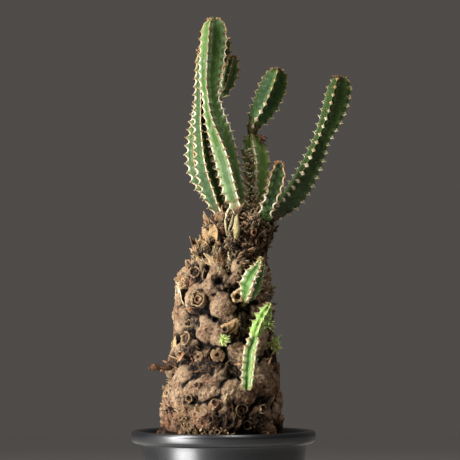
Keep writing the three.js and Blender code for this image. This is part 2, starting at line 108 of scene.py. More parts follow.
# Places where dry debris covers the bark: angle, height, reach. More of them are spread over the back.
DEBRIS = [
    (-44, 193, 11), (-29, 188, 12), (-15, 185, 11), (10, 207, 8), (24, 206, 8), (30, 217, 9), (-3, 248, 7),
    (-46, 258, 8), (-24, 262, 5), (-36, 226, 6), (-47, 207, 7), (-29, 156, 7), (21, 149, 9), (6, 139, 8),
    (-6, 141, 6), (35, 140, 9), (72, 190, 9), (88, 250, 10), (62, 226, 9), (80, 214, 9), (3, 187, 9),
    (-70, 186, 7), (46, 155, 7), (10, 130, 7), (-30, 130, 7), (75, 128, 8), (-80, 132, 8), (-75, 205, 5),
    (-2, 215, 4), (48, 246, 6),
]
DEBRIS += [(95 + (i * 61.8) % 170, 128 + 136 * (i * GOLDEN_SHARE % 1), 8.5) for i in range(24)]
# Places where the bark is red-brown: angle, height, reach.
STAINS = [
    (-60, 139, 13), (-14, 134, 8), (33, 152, 6), (-6, 150, 5), (6, 131, 8), (-40, 131, 8), (58, 134, 9),
    (-78, 152, 7), (-44, 190, 7), (-38, 226, 4), (-82, 205, 7), (70, 160, 8), (-52, 250, 6), (48, 287, 12),
    (22, 280, 10), (150, 150, 16), (210, 210, 14), (250, 160, 12), (120, 240, 12),
]

# Cup shapes as (share of the radius, height in mm, mark of depth), from the foot over the rim to the pit.
# The mark of depth paints shade, near black, into the pits and grooves.
CUP_SHAPES = {
    "double_ring": [
        (0, -3, 0), (0.95, -3, 0), (0.97, 0.6, 0), (1.05, 3, 0), (0.98, 3.7, 0), (0.86, 3.3, 0),
        (0.82, 0.4, 1), (0.6, -0.2, 1), (0.57, 2.1, 0.2), (0.5, 2.9, 0), (0.36, 2.6, 0), (0.29, 0.6, 1),
        (0.2, 0.1, 1), (0, -0.4, 1)],
    "square_hole": [
        (0, -3, 0), (0.85, -3, 0), (0.9, 1.2, 0), (1.02, 2.7, 0), (0.98, 3.6, 0), (0.78, 3.9, 0),
        (0.52, 3.2, 0.1), (0.46, 1.2, 1), (0.4, -1.4, 1), (0, -1.8, 1)],
    "disc": [
        (0, -3, 0), (1, -3, 0), (1.04, 1.2, 0), (0.98, 2.4, 0), (0.88, 2.2, 0.3), (0.82, 2.7, 0),
        (0.68, 2.6, 0.35), (0.62, 3, 0), (0.44, 2.9, 0.1), (0.36, 3.1, 0), (0.26, 2.6, 0.4), (0.22, 0.2, 1),
        (0, 0, 1)],
    "cup": [
        (0, -3, 0), (0.82, -3, 0), (0.88, 0.6, 0), (1.04, 2.6, 0), (1, 3.3, 0), (0.86, 3.1, 0),
        (0.7, 1.2, 0.5), (0.5, -0.6, 1), (0, -1.2, 1)],
    "stub": [
        (0, -2, 0), (0.8, -2, 0), (0.74, 1.2, 0), (0.82, 3.4, 0), (0.66, 3.9, 0), (0.5, 2.9, 0.7),
        (0, 2.4, 1)],
}
# Small cups on the photographed side: angle, height, radius, shape, shade, and warmth where it isn't 0.
SMALL_SCARS = [
    (-53, 216, 3.0, "cup", 0.45), (-32, 158, 3.4, "cup", 0.4), (-29, 189, 4.4, "disc", 0.35),
    (21, 147, 5.4, "double_ring", 0.35), (-22, 167, 3.4, "stub", 0.4), (1, 211, 3.4, "stub", 0.3),
    (43, 148, 3.6, "cup", 0.3), (53, 228, 3.8, "cup", 0.4), (-76, 161, 3.4, "cup", 0.4),
    (-80, 221, 3.4, "stub", 0.5), (28, 136, 3.4, "cup", 0.3), (-69, 178, 3.2, "stub", 0.4),
    (-50, 257, 4.4, "cup", 0.45, 0.1), (24, 289, 3.0, "stub", 0.5, 0.6), (-52, 192, 2.6, "cup", 0.4),
]
# Large curled sheets of shed bark on the photographed side:
# angle, height, length, width, curl, lift, roll, shade, and warmth where it isn't 0.
SHEETS = [
    (-62, 280, 12.2, 10.5, 0.7, 0.1, -0.25, 0.66), (-38, 284, 12.2, 10, 0.9, 0.3, -0.6, 0.72),
    (-84, 277, 12.5, 7, -0.6, 0.1, 0.3, 0.3), (-70, 293, 8.5, 6, 0.7, 0.2, 0.2, 0.4),
    (-47, 291, 7, 5, 1.0, 0.4, -0.4, 0.5), (-74, 275, 9, 5, 0.7, 0.2, 0.5, 0.3, 0.14),
    (-34, 296, 6.8, 5, 0.9, 0.4, 0.2, 0.6), (-74, 269, 7, 5, 0.9, 0.25, 0.6, 0.8),
    (-60, 268, 7.65, 7, 0.4, 0.1, 0.2, 0.45, 0.2), (-45, 267, 5.95, 5, 1.4, 0.3, -0.5, 0.8),
    (-42, 278, 5.95, 5, 1.2, 0.4, 0.4, 0.75, 0.21), (-12, 261, 9, 6, 0.7, 0.3, 0.5, 0.82, 0.07),
    (-6, 261, 10, 5, 0.6, 0.35, 0.15, 0.66, 0.28), (0, 260, 8, 5, -0.5, 0.3, -0.25, 0.95),
    (6, 262, 8, 5, 0.9, 0.4, -0.5, 0.95), (-10, 265, 9, 5, 0.5, 0.1, 0.4, 0.9),
    (2, 266, 8, 4, 0.4, 0.2, -0.7, 0.85), (-15, 262, 8, 3, 0.5, 0.2, 1.2, 0.8),
    (-6, 255, 6, 3, 0.8, 0.3, 0.1, 0.9), (-71, 230, 16, 10, 0.2, 0.08, 0.1, 1),
    (-80, 236, 9, 5, -0.4, 0.1, -0.4, 0.8), (-66, 256, 8, 6, 0.2, 0.05, 0.3, 0.35, 0.1),
    (-56, 250, 9, 5, 0.9, 0.1, 1.3, 0.4, 0.15), (-38, 252, 8, 5, 0.8, 0.3, -1.3, 0.45, 0.15),
    (-70, 262, 9, 6, 0.3, 0.05, 0.1, 0.5, 0.1), (-2, 211, 9, 6, -0.25, 0.3, -1.15, 0.66),
    (2, 208, 11, 6, 0.2, 0.15, -0.9, 0.4), (12, 208, 7, 5, 0.5, 0.3, -0.3, 0.6, 0.1),
    (14, 213, 6, 6, 0.8, 0.2, 0.5, 0.3), (84, 268, 24, 14, 0.62, 0, -0.12, 0.16, 0.1),
    (68, 270, 21, 13, 0.5, 0, -0.22, 0.06, 0.1), (100, 272, 20, 12, 0.65, 0, 0.1, 0.1),
    (52, 272, 16, 13, 0.3, 0.03, 0.1, 0.03, 0.1), (66, 272, 10.2, 9, 0.6, 0.3, 0.3, 0, 0.07),
    (30, 285, 10, 9, 0.5, 0.2, 0.2, 0.1, 0.07), (48, 282, 8.5, 8, 0.5, 0.3, -0.3, 0.05),
    (72, 239, 13, 3.5, -0.2, 0.12, 0.6, 0.85), (68, 234, 12, 3, -0.2, 0.12, 0.7, 0.75),
    (78, 246, 11, 3.5, 0.4, 0.1, 0.5, 0.8), (62, 238, 9, 3, 0.3, 0.1, 0.9, 0.45, 0.14),
    (74, 252, 8, 3, 0.6, 0.1, 0.4, 0.9), (66, 246, 9, 4, 0.2, 0.05, 0.3, 0.15),
    (-46, 198, 10, 5, 0.3, 0.1, 2.9, 0.6, 0.63), (-43, 189, 7, 4, 0.5, 0.2, 2.5, 0.65, 0.56),
    (-38, 226, 5, 4, 0.6, 0.3, 1, 0.5, 0.63), (-44, 222, 4, 3, 0.6, 0.4, 0.2, 0.7, 0.56),
    (10, 186, 6, 3, 0.4, 0.2, -1.9, 0.5, 0.4), (-9, 156, 8, 5, 1.3, 0.2, -2.6, 0.6, 0.5),
    (7, 152, 9, 4, 1.3, 0.2, 0.2, 0.85, 0.07), (33, 154, 8, 5, 0.5, 0.15, 1.2, 0.5, 0.63),
    (-76, 190, 12, 8, -0.3, -0.08, 0, 0.75), (71, 187, 8, 6, 0.6, 0.3, 0.3, 0.75, 0.07),
    (61, 193, 8, 5, 0.9, 0.3, -0.4, 0.7, 0.14), (57, 182, 7, 5, 0.6, 0.4, 0.8, 0.6, 0.14),
    (74, 232, 8, 4, 0.5, 0.1, 0.4, 0.45, 0.1), (84, 196, 7, 5, 0.5, 0.2, 0.2, 0.6),
    (-60, 184, 8, 5, 0.7, 0.3, 0.6, 0.6, 0.21), (-32, 139, 9, 7, 0.9, 0.2, 0.8, 0.65),
    (-38, 145, 7, 5, 0.6, 0.2, -0.6, 0.5), (-18, 145, 6, 4, 0.7, 0.4, 0.3, 0.7),
]
# Fallen sticks on the photographed side: angle, height, length, radius, roll, lean, shade.
STICKS = [
    (5, 186, 13, 0.8, -0.75, 0, 0.85), (-29, 179, 9, 1.0, -1.2, 0.1, 0.7), (-18, 188, 8, 0.7, 0.4, 0.1, 0.6),
    (-24, 195, 8, 0.6, -0.5, 0.2, 0.7), (12, 195, 7, 0.6, 0.9, 0.1, 0.6), (-14, 144, 6, 0.7, -1.0, 0.2, 0.7),
    (-7, 142, 5, 0.8, 0.7, 0.1, 0.65), (0, 140, 5, 0.7, -0.6, 0.1, 0.6), (4, 146, 6, 0.5, 1.2, 0.2, 0.6),
    (-10, 138, 7, 0.6, 1.3, 0.1, 0.5), (14, 143, 5, 0.6, -0.2, 0.2, 0.5), (-33, 197, 8, 0.6, 1.1, 0.2, 0.5),
    (18, 199, 7, 0.6, -0.9, 0.2, 0.8), (-8, 181, 7, 0.5, 1.2, 0, 0.6), (26, 196, 8, 0.7, 0.5, 0.1, 0.55),
    (-40, 186, 7, 0.6, -0.3, 0.3, 0.75), (-22, 181, 10, 0.7, 1.35, 0.1, 0.65),
    (11, 151, 7, 0.6, 0.2, 0.3, 0.7),
]

# Four-angled stems: turn of the first rib from the front (a pair for a stem that twists), length of the root
# peg, and points with the rib radius.
STEMS = {
    "stem_tall": ((9, -20), 8, [
        (14.5, -9, 304.5, 3.6), (12, -10, 312, 8.9), (8.5, -11, 324, 11.3), (4.5, -11, 340.5, 11.5),
        (1, -10, 356.5, 11.8), (-3.5, -9, 373, 11.8), (-8, -8, 388, 10.4), (-10, -8, 400, 8.8),
        (-10.5, -8, 411, 10.8), (-9.3, -8, 430.5, 12.4), (-8, -8, 447, 12.8), (-7.6, -8, 458.5, 11.6),
        (-7.6, -8, 465, 4.6)]),
    "stem_left": (6, 8, [
        (1.5, -5, 301, 3.2), (-2, -5, 306, 6.1), (-5.5, -5, 313, 8.9), (-9.5, -5, 324.5, 10.4),
        (-14, -4.5, 338.5, 9.9), (-16.5, -3.5, 351.5, 8.8), (-18, -1.5, 365.5, 8), (-19, 1, 377.5, 7.3),
        (-19, 4, 390, 6.7), (-19, 6, 402, 6.1), (-19, 6.5, 412.5, 5.6), (-19, 6.5, 424, 5.1),
        (-19, 6.5, 434, 4.4), (-18.5, 6.5, 441.5, 2.1)]),
    "stem_rear": (0, 8, [
        (6, 12, 306, 3.7), (-2, 13, 314.5, 6.6), (-13.5, 14.5, 326, 8.6), (-21.5, 13.5, 340, 8.7),
        (-24, 13.5, 353.5, 8.6), (-23.5, 15, 367.5, 8.1), (-22, 17.5, 379, 7.8), (-19.5, 20, 392, 7.3),
        (-15.5, 22, 405.5, 7.1), (-11, 23, 418.5, 7.3), (-5.4, 23.5, 431, 7.8), (-1.4, 23.5, 441, 8.0),
        (0.8, 23.5, 448.5, 7.0), (1.4, 23.5, 454.5, 2.8)]),
    "stem_rear_side": (-10, 5, [
        (-15, 20, 404, 2.5), (-10.5, 17, 402, 3.6), (-4.5, 13, 403.5, 5.2), (1, 10, 408, 6.8),
        (4.2, 8, 415.5, 7.9), (6.4, 7.5, 423.5, 7.8), (8, 7, 431, 6.2), (8.5, 7, 436.5, 2.6)]),
    "stem_fork_lower": (0, 8, [
        (25, 7, 305, 3.7), (25.3, 7, 314, 7.8), (26, 7, 325.5, 10.8), (27, 7, 338, 12),
        (27, 7, 348.5, 12.6), (25.3, 7, 358.5, 11.8), (24, 7, 366, 8.4), (23.5, 7, 371, 5.4)]),
    "stem_fork_upper": (0, 5, [
        (23.5, 7, 370, 3.2), (24, 7, 375.5, 5), (25.5, 7, 380, 8.4), (29.5, 7, 387, 11.2),
        (33.8, 7, 394.5, 12.6), (37.6, 7, 403, 13), (41.2, 7, 412, 12.4), (43.8, 7, 420.5, 10.2),
        (44.8, 7, 426, 3.8)]),
    "stem_short": (48, 8, [
        (34, -12, 298, 3.2), (33.5, -14, 302, 8.2), (35.5, -16, 310, 9.2), (39.5, -17, 319.5, 9.2),
        (42, -17, 328.5, 9.6), (44, -17, 336.5, 9), (45, -17, 342.5, 6.2), (45.5, -17, 346.5, 2.4)]),
    "stem_right": (-23, 8, [
        (36.5, 3, 302, 3.7), (41, 2, 305.5, 7.4), (47.5, 1, 310.5, 10.2), (54, 0, 316.5, 11.6),
        (61.5, -2, 326, 12), (69, -4, 339.5, 11.4), (75.5, -4, 354, 10.2), (79.5, -4, 364.5, 8.8),
        (83.5, -4, 373.5, 9.8), (88.5, -4, 385, 11.4), (92.5, -4, 398, 12.2), (94.8, -4, 408, 11.6),
        (95.5, -4, 414, 8.8), (96, -4, 418, 3.6)]),
}
# Young shoots on the trunk: turn, peg, points, tooth pitch, tooth depths low and at the tip, spine length.
SHOOTS = {
    "flank": (12, 5, [
        (17.5, -32, 234, 2.5), (19.5, -37, 237.5, 6.3), (21, -40, 242.5, 9.5), (22, -41, 246.5, 10.3),
        (25, -41, 254, 8.9), (28.5, -40, 260, 6), (30, -39, 266, 3.5), (30.5, -39, 268.5, 1.9)],
        4.4, (1.6, 1.2), 2.2),
    "hanging": (-36, 5, [
        (26, -31, 211, 3), (26.5, -38, 208, 5.2), (25, -42.5, 204, 6.6), (23.5, -46, 199, 7.6),
        (21.5, -48.5, 192.5, 8.2), (21, -50, 186.5, 8.4), (20, -52, 178, 8.2), (19.5, -53.5, 171, 7.8),
        (19, -54, 166.5, 6.8), (18.8, -54, 163.8, 4.2)], 5.9, (1.7, 1.7), 1.2),
    "rising": (14, 1, [
        (25.5, -41, 205, 3.4), (26.8, -44, 210.5, 6.8), (29, -46, 216.5, 8.6), (32, -47, 222.5, 8.8),
        (35, -48, 227, 7.4), (37.2, -48, 231.5, 2.4)], 5.6, (4.6, 4.4), 2.4),
}
# Leafy tufts: angle, height, leaf length, leaves.
TUFTS = {
    "bud_rosette": (-1, 203, 6.8, 15),
    "tuft_upper_right": (58, 215, 10, 13),
    "tuft_lower_right": (72, 199, 11.5, 16),
}
# Copies of the stem skin with painted light: darker ones paint the shade on stems that others shadow, and the
# paler one paints light on the lower fork stem, which the tall stem shadows. Each is deep, middle and pale
# green, then cork.
OTHER_SKINS = {
    "half_shade_painted_waxy_stem_skin": ("#2a401c", "#3b5427", "#61764a", "#7d6040"),
    "shade_painted_waxy_stem_skin": ("#203816", "#2e4d1d", "#4b6532", "#6a5236"),
    "dark_shade_painted_waxy_stem_skin": ("#1f3012", "#2f421a", "#48582c", "#5a452d"),
    "deep_shade_painted_waxy_stem_skin": ("#121f09", "#1d2f10", "#364922", "#56733a"),
    "light_painted_waxy_stem_skin": ("#52702f", "#749346", "#a3b878", "#8a6a45"),
}
# Which stems take the copies with painted shade, and which stem takes the copy with painted light.
SKIN_OF_STEM = {
    "stem_left": "shade_painted_waxy_stem_skin", "stem_fork_upper": "shade_painted_waxy_stem_skin",
    "stem_rear": "half_shade_painted_waxy_stem_skin", "stem_rear_side": "half_shade_painted_waxy_stem_skin",
    "stem_fork_lower": "light_painted_waxy_stem_skin", "stem_short": "deep_shade_painted_waxy_stem_skin",
    "stem_right": "dark_shade_painted_waxy_stem_skin",
}
SHOOT_SKINS = {
    "waxy_upper_shoot_skin": ("#35521d", "#50742f", "#86a062", "#5c4a2c"),
    "waxy_shoot_skin": ("#44622a", "#6d8f40", "#a0b476", "#85774a"),
    "tender_shoot_skin": ("#628b31", "#83a844", "#aec476", "#819045"),
}
TOOTH_PITCH = 6.8
TOOTH_DEPTHS = (2.8, 1.6)
# How a ribbed stem looks: half width of its margin, reach of its tan tip and corky foot, spines on its crest,
# depth of the valleys between its ribs, how far its margin splits, breaks into dots and is horny, and bulge of
# its end.
SHOOT_LOOK = {
    "bead": 0.6, "tip": 8, "base": 5, "crest": 10, "valley": 0.55, "split": 0, "dotted": 0, "horny": 1,
    "cap": 0.5,
}
STEM_LOOK = {**SHOOT_LOOK, "tip": 44, "base": 14, "crest": 40}

# Marks on the points of a mesh that its material reads.
STEM_MARKS = ("margin", "face", "tip", "tooth", "base")
FLAKE_MARKS = ("shade", "warm", "depth", "rim")
BARK_MARKS = ("cavity_shade", "ridge_highlight", "debris_and_shade", "stain")

# Ramps of dried bark, cork, straw and peat, from dark to pale, and of horn, from old to young.
SHED_STOPS = [(0.0, "#2c1c11"), (0.25, "#553923"), (0.5, "#845a38"), (0.75, "#b08f62"), (1.0, "#d8c8a2")]
WOODY_STOPS = [(0.0, "#382518"), (0.4, "#664831"), (0.7, "#8f6f4b"), (1.0, "#b59b70")]
STRAW_STOPS = [(0.0, "#8a7848"), (0.5, "#b4a878"), (1.0, "#e8dec0")]
PEAT_STOPS = [(0.25, "#100b08"), (0.5, "#271d15"), (0.72, "#463628"), (0.9, "#75614a")]
HORN_STOPS = [(0.0, "#eadfc2"), (0.45, "#c09a68"), (0.75, "#8a5632"), (1.0, "#2c1811")]


def linear(hex_colour):
    """An sRGB hex colour as linear red, green, blue and alpha."""
    parts = [int(hex_colour[i:i + 2], 16) / 255 for i in (1, 3, 5)]
    return (*(c / 12.92 if c <= 0.04045 else ((c + 0.055) / 1.055) ** 2.4 for c in parts), 1.0)


def smooth(low, high, value):
    t = np.clip((np.asarray(value, float) - low) / (high - low), 0, 1)
    return t * t * (3 - 2 * t)


class Draws:
    """A fixed run of numbers, so each run of the script gives the same plant."""

    def __init__(self, seed):
        self.seed = seed

    def __call__(self, low, high):
        self.seed = (self.seed * 1664525 + 1013904223) % 4294967296
        return low + (high - low) * self.seed / 4294967296

    def pick(self, choices):
        return choices[int(self(0, len(choices) - 1e-6))]


def noise_at(points, size, kind="fractal", octaves=4):
    """Solid noise at points in mm, with features about size mm across."""
    scaled = (np.asarray(points) / size).tolist()
    if kind == "cells":
        return np.array([noise.voronoi(p)[0][0] for p in scaled])
    if kind == "ridges":
        return np.array([noise.ridged_multi_fractal(p, 0.9, 2.1, octaves, 1.0, 2.0) for p in scaled])
    return np.array([noise.fractal(p, 0.9, 2.0, octaves) for p in scaled])


def away(angle, z, spot):
    """Distance in mm along the bark from a spot."""
    turn = np.asarray(angle, float) - spot[0]
    turn = turn - 360 * np.round(turn / 360)
    return np.hypot(np.radians(turn) * BARK_RADIUS, z - spot[1])


def seeded_bark():
    """Lumps, scars and flakes spread over the trunk, in the order in which the solids draw them."""
    draw = Draws(20413)
    scars, lumps, flakes = list(FRONT_SCARS), list(FRONT_LUMPS), []
    for i in range(9):
        scars.append((75 + (i * 61.8) % 210, 138 + 158 * ((i * 0.618) % 1) * 0.85, draw(4, 6)))
    for i in range(120):
        angle = (i * GOLDEN_TURN) % 360 + draw(-9, 9)
        z = 122 + 176 * (i + 0.5) / 120 + draw(-5, 5)
        if all(away(angle, z, spot) > spot[2] * 0.8 for spot in FRONT_LUMPS + scars):
            lumps.append((angle, z, draw(7.5, 11.5), draw(4, 7)))
    for i in range(30):
        flakes.append((GOLDEN_TURN * i + draw(-14, 14), draw(264, 303), draw(5, 10),
                       draw(4, 8), draw(0.35, 1.1), draw(-0.8, 0.8)))
    for i in range(20):
        flakes.append((GOLDEN_TURN * i + 40 + draw(-14, 14), 128 + 132 * (i + 0.5) / 20, draw(2.5, 5),
                       draw(3, 7), draw(0.3, 0.9), draw(-1.4, 1.4)))
    scars[0], scars[5] = (-30, 235, 6.0), (-5, 153, 4.2)
    return lumps, scars, flakes


class Trunk:
    """The bark's surface as a table of radii over angle and height, which other pieces sit on."""

    AROUND = 320

    def __init__(self, crevice):
        self.lumps, self.scars, self.flakes = seeded_bark()
        self.z = np.concatenate(
            [[70, 84, 96, 106, 112, 116], np.linspace(118.5, 303, 272), np.linspace(303.7, 309.5, 14)])
        self.shift = np.interp(self.z, CAUDEX[:, 0], CAUDEX[:, 1])
        angle = np.arange(self.AROUND) * 360 / self.AROUND
        a, z = np.meshgrid(angle, self.z)
        base = np.interp(z, CAUDEX[:, 0], CAUDEX[:, 2])
        skin = np.stack([base * np.sin(np.radians(a)), -base * np.cos(np.radians(a)), z], -1).reshape(-1, 3)

        def grain(size, kind="fractal", octaves=3, shift=0.0, upright=1.0):
            """Noise over the skin, which is moved by shift and scaled upright to change the pattern."""
            return noise_at(skin * [1, 1, upright] + shift, size, kind, octaves).reshape(a.shape)

        warp_round, warp_up = grain(15) * 3.4, grain(15, shift=91.7) * 3.0
        wa, wz = a + np.degrees(warp_round / BARK_RADIUS), z + warp_up
        swollen = np.zeros_like(z)
        for number, (angle_at, height, radius, up) in enumerate(self.lumps):
            wide, tall = (1.2, 1.0) if number < len(FRONT_LUMPS) else (1.15, 0.7 + 0.4 * (number * 0.618 % 1))
            near = away(wa, wz, (angle_at, height)) / (radius * wide)
            swollen += (up * tall * np.clip(1 - near * near, 0, 1) ** 0.7) ** 5
        rise = swollen ** 0.2
        gap = np.exp(-(rise / 2.2) ** 2)
        rise -= crevice * gap
        self.stain = np.maximum(self.covered(wa, wz, STAINS), 0.9 * smooth(154, 132, wz))
        crown = smooth(263, 272, z + 2 * warp_round)
        # Litter in the crown and clefts; the bark darkens there, partly its own dark brown, partly painted
        # shade.
        self.debris_and_shade = debris_and_shade_cover = np.maximum(np.maximum(self.covered(wa, wz, DEBRIS), crown), 0.85 * gap)
        rise += debris_and_shade_cover * ((grain(5.0, "ridges", 4, 0, 0.7) - 1.0) * 2.0 - 1.2 - 0.25 * rise)
        rise += debris_and_shade_cover * 1.1 * (0.5 - grain(3.4, "cells", shift=11, upright=0.8))
        rise += (1 - debris_and_shade_cover) * grain(7.5, shift=57) * 0.7
        rise += (1 - debris_and_shade_cover) * (grain(4.2, "ridges", 4, 23) - 1.0) * 0.7
        grooves = grain(3.2, "ridges", upright=0.3)
        rise += (1 - debris_and_shade_cover) * (grooves - 1.0) * (0.2 + 0.3 * (1 - smooth(160, 190, z)))
        rise += grain(2.0, shift=-15) * 0.45
        folded = np.exp(-(away(a, z, FOLDED_CRUST) / 12.5) ** 6)
        folds = np.abs(np.sin(np.pi * (away(a, z, (-73, 129)) + 0.7 * warp_up) / 4.2))
        rise += folded * (4.6 * folds ** 0.5 - 3.2)
        for angle_at, height, radius, depth in HOLLOWS:
            rise -= 1.2 * depth * np.exp(-1.5 * (away(wa, wz, (angle_at, height)) / radius) ** 2)
        for spot in self.scars:
            near = away(a, z, spot) / spot[2]
            level = np.clip(rise[near < 1].mean(), 1.0, 3.4)
            rise += (level - rise) * (1 - smooth(0.8, 1.1, near))
            rise -= (2.0 + 0.4 * warp_up) * np.exp(-((near - 1.22) / 0.22) ** 2)
        rise *= smooth(118, 125, z) * (1 - 0.8 * smooth(303, 309, z))
        self.radius = base + rise
        # Hollows that the bark paints near black, painted shade, and ridges it paints paler, a painted
        # highlight.
        self.cavity_shade = rise - self.blurred(rise, 4) - 0.6 * folded
        self.ridge_highlight = (rise - self.blurred(rise, 2)) * (1 - folded)

    @staticmethod
    def covered(angle, z, spots):
        """How much of each place the spots cover, from 0 to 1."""
        thick = np.zeros_like(z)
        for at, height, reach in spots:
            thick = np.maximum(thick, np.exp(-(away(angle, z, (at, height)) / reach) ** 4))
        return thick

    @staticmethod
    def blurred(values, reach):
        """The mean over a square of neighbours, run twice, round the trunk and up it."""
        for _ in range(2):
            values = sum(np.roll(values, k, 1) for k in range(-reach, reach + 1)) / (2 * reach + 1)
            tall = np.pad(values, ((reach, reach), (0, 0)), "edge")
            values = sum(tall[k:k + len(values)] for k in range(2 * reach + 1)) / (2 * reach + 1)
        return values

    def looked_up(self, table, angle, z):
        row = np.interp(z, self.z, np.arange(len(self.z)))
        column = (angle % 360) / 360 * self.AROUND
        r, c = int(min(row, len(self.z) - 2)), int(column)
        fr, fc = row - r, column - c
        left, right = c % self.AROUND, (c + 1) % self.AROUND
        low = table[r, left] * (1 - fc) + table[r, right] * fc
        high = table[r + 1, left] * (1 - fc) + table[r + 1, right] * fc
        return low * (1 - fr) + high * fr

    def at(self, angle, z, out=0.0):
        """A point on the bark, or out mm from it."""
        reach = self.looked_up(self.radius, angle, z) + out
        shift = float(np.interp(z, self.z, self.shift))
        turn = math.radians(angle)
        return Vector((shift + reach * math.sin(turn), -reach * math.cos(turn), z))

    def outward(self, angle, z):
        up = self.at(angle, z + 4) - self.at(angle, z - 4)
        round_way = self.at(angle + 5, z) - self.at(angle - 5, z)
        level = Vector((math.sin(math.radians(angle)), -math.cos(math.radians(angle)), 0))
        return (round_way.cross(up).normalized() + level).normalized()

    def seat(self, angle, z, out=0.0, roll=0.0, lean=0.0):
        """A frame on the bark: Z stands out of it and Y runs up it, then turned by roll and leant upwards."""
        way = self.outward(angle, z)
        up = (Vector((0, 0, 1)) - way * way.z).normalized()
        side = up.cross(way)
        turned = Matrix((side, up, way)).transposed().to_4x4()
        turned = turned @ Matrix.Rotation(roll, 4, "Z") @ Matrix.Rotation(-lean, 4, "X")
        return Matrix.Translation(self.at(angle, z, out)) @ turned


class Block:
    """A mesh under construction, in millimetres, with named marks on its points that materials read."""

    def __init__(self, *marks):
        self.bm = bmesh.new()
        self.marks = {name: self.bm.verts.layers.float.new(name) for name in marks}

    def take(self, part, matrix=None, finish=0, **marks):
        """Adds a small mesh, placed by the matrix, with one value of each mark all over it."""
        if matrix is not None:
            bmesh.ops.transform(part, matrix=matrix, verts=part.verts)
        for name in self.marks:
            layer = part.verts.layers.float.get(name) or part.verts.layers.float.new(name)
            if name in marks:
                for vert in part.verts:
                    vert[layer] = marks[name]
        for face in part.faces:
            face.material_index = finish
            face.smooth = True
        mesh = bpy.data.meshes.new("part")
        part.to_mesh(mesh)
        part.free()
        self.bm.from_mesh(mesh)
        bpy.data.meshes.remove(mesh)

    def finish(self, name, materials, slot, nodes=()):
        """Turns the block into a finished piece in metres that rides with the plant."""
        bm = self.bm
        bmesh.ops.scale(bm, vec=(MM, MM, MM), verts=bm.verts)
        bmesh.ops.recalc_face_normals(bm, faces=bm.faces)
        mesh = bpy.data.meshes.new(name)
        bm.to_mesh(mesh)
        bm.free()
        for material in materials:
            mesh.materials.append(material)
        piece = bpy.data.objects.new(name, mesh)
        bpy.context.scene.collection.objects.link(piece)
        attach(piece, "root")
        if nodes:
            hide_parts(*nodes)
        return piece


def wrapped(around, along, place, marks=()):
    """A closed tube: a grid of faces whose points place(column, row) sets, with seam and ends merged."""
    bm = bmesh.new()
    layers = [bm.verts.layers.float.new(name) for name in marks]
    bmesh.ops.create_grid(bm, x_segments=around, y_segments=along, size=0.5)
    flat = np.array([v.co[:2] for v in bm.verts]) + 0.5
    column = np.rint(flat[:, 0] * around).astype(int) % around
    row = np.rint(flat[:, 1] * along).astype(int)
    points, values = place(column, row)
    for vert, point in zip(bm.verts, points.tolist()):
        vert.co = point
    for layer, value in zip(layers, values):
        for vert, number in zip(bm.verts, value.tolist()):
            vert[layer] = number
    bmesh.ops.remove_doubles(bm, verts=bm.verts, dist=1e-4)
    bmesh.ops.recalc_face_normals(bm, faces=bm.faces)
    return bm


def plate(across, along, place, thickness):
    """A thin bent sheet: place(u, v) sets each point, u from -1 to 1 across and v from 0 to 1 along."""
    bm = bmesh.new()
    rim = bm.verts.layers.float.new("rim")
    bmesh.ops.create_grid(bm, x_segments=across, y_segments=along, size=0.5)
    for vert in bm.verts:
        u, v = vert.co.x * 2, vert.co.y + 0.5
        vert[rim] = float(smooth(0.55, 1.0, max(abs(u), v)))
        vert.co = place(u, v)
    bmesh.ops.recalc_face_normals(bm, faces=bm.faces)
    bm.normal_update()
    thick = bmesh.ops.extrude_face_region(bm, geom=bm.faces[:])
    for vert in thick["geom"]:
        if isinstance(vert, bmesh.types.BMVert):
            vert.co += vert.normal * thickness
    bmesh.ops.recalc_face_normals(bm, faces=bm.faces)
    return bm


def turned(profile, steps, closed=False):
    """A shape turned about Z from points of radius and height."""
    bm = bmesh.new()
    verts = [bm.verts.new((radius, 0, height)) for radius, height in profile]
    pairs = list(zip(verts, verts[1:])) + ([(verts[-1], verts[0])] if closed else [])
    edges = [bm.edges.new(pair) for pair in pairs]
    bmesh.ops.spin(bm, geom=verts + edges, cent=(0, 0, 0), axis=(0, 0, 1), dvec=(0, 0, 0),
                   angle=2 * math.pi, steps=steps, use_merge=True)
    bmesh.ops.remove_doubles(bm, verts=bm.verts, dist=1e-4)
    bmesh.ops.recalc_face_normals(bm, faces=bm.faces)
    return bm


def stick(start, end, radius, tip, sides=6):
    """A tapered rod between two points."""
    start, end = Vector(start), Vector(end)
    way = end - start
    place = Matrix.Translation((start + end) / 2) @ way.to_track_quat("Z", "Y").to_matrix().to_4x4()
    bm = bmesh.new()
    bmesh.ops.create_cone(bm, cap_ends=True, segments=sides, radius1=radius, radius2=tip, depth=way.length,
                          matrix=place)
    return bm


def bent_rod(path, radii, sides=8):
    """A rod along a bent path, closed at both ends."""
    path = [Vector(p) for p in path]
    rows = len(path)

    def place(column, row):
        points = []
        for c, r in zip(column, row):
            i = min(max(r - 1, 0), rows - 1)
            way = (path[min(i + 1, rows - 1)] - path[max(i - 1, 0)]).normalized()
            side = way.orthogonal() if abs(way.z) > 0.95 else Vector((0, 0, 1)).cross(way)
            side.normalize()
            other = way.cross(side)
            turn = 2 * math.pi * c / sides
            reach = 0 if r in (0, rows + 1) else radii[i]
            points.append(path[i] + (side * math.cos(turn) + other * math.sin(turn)) * reach)
        return np.array([tuple(p) for p in points]), ()
    return wrapped(sides, rows + 1, place)


# Materials. Patterns lie on Object coordinates, in metres, so a scale of 1000 is one feature a millimetre.

NOISE, RANGE, MIX, MATH = "ShaderNodeTexNoise", "ShaderNodeMapRange", "ShaderNodeMix", "ShaderNodeMath"
MARK, STRETCH, RAMP, BUMP = "ShaderNodeAttribute", "ShaderNodeMapping", "ShaderNodeValToRGB", "ShaderNodeBump"
SHADER, SURFACE = "ShaderNodeBsdfPrincipled", "ShaderNodeOutputMaterial"
SOFT = {"interpolation_type": "SMOOTHSTEP"}


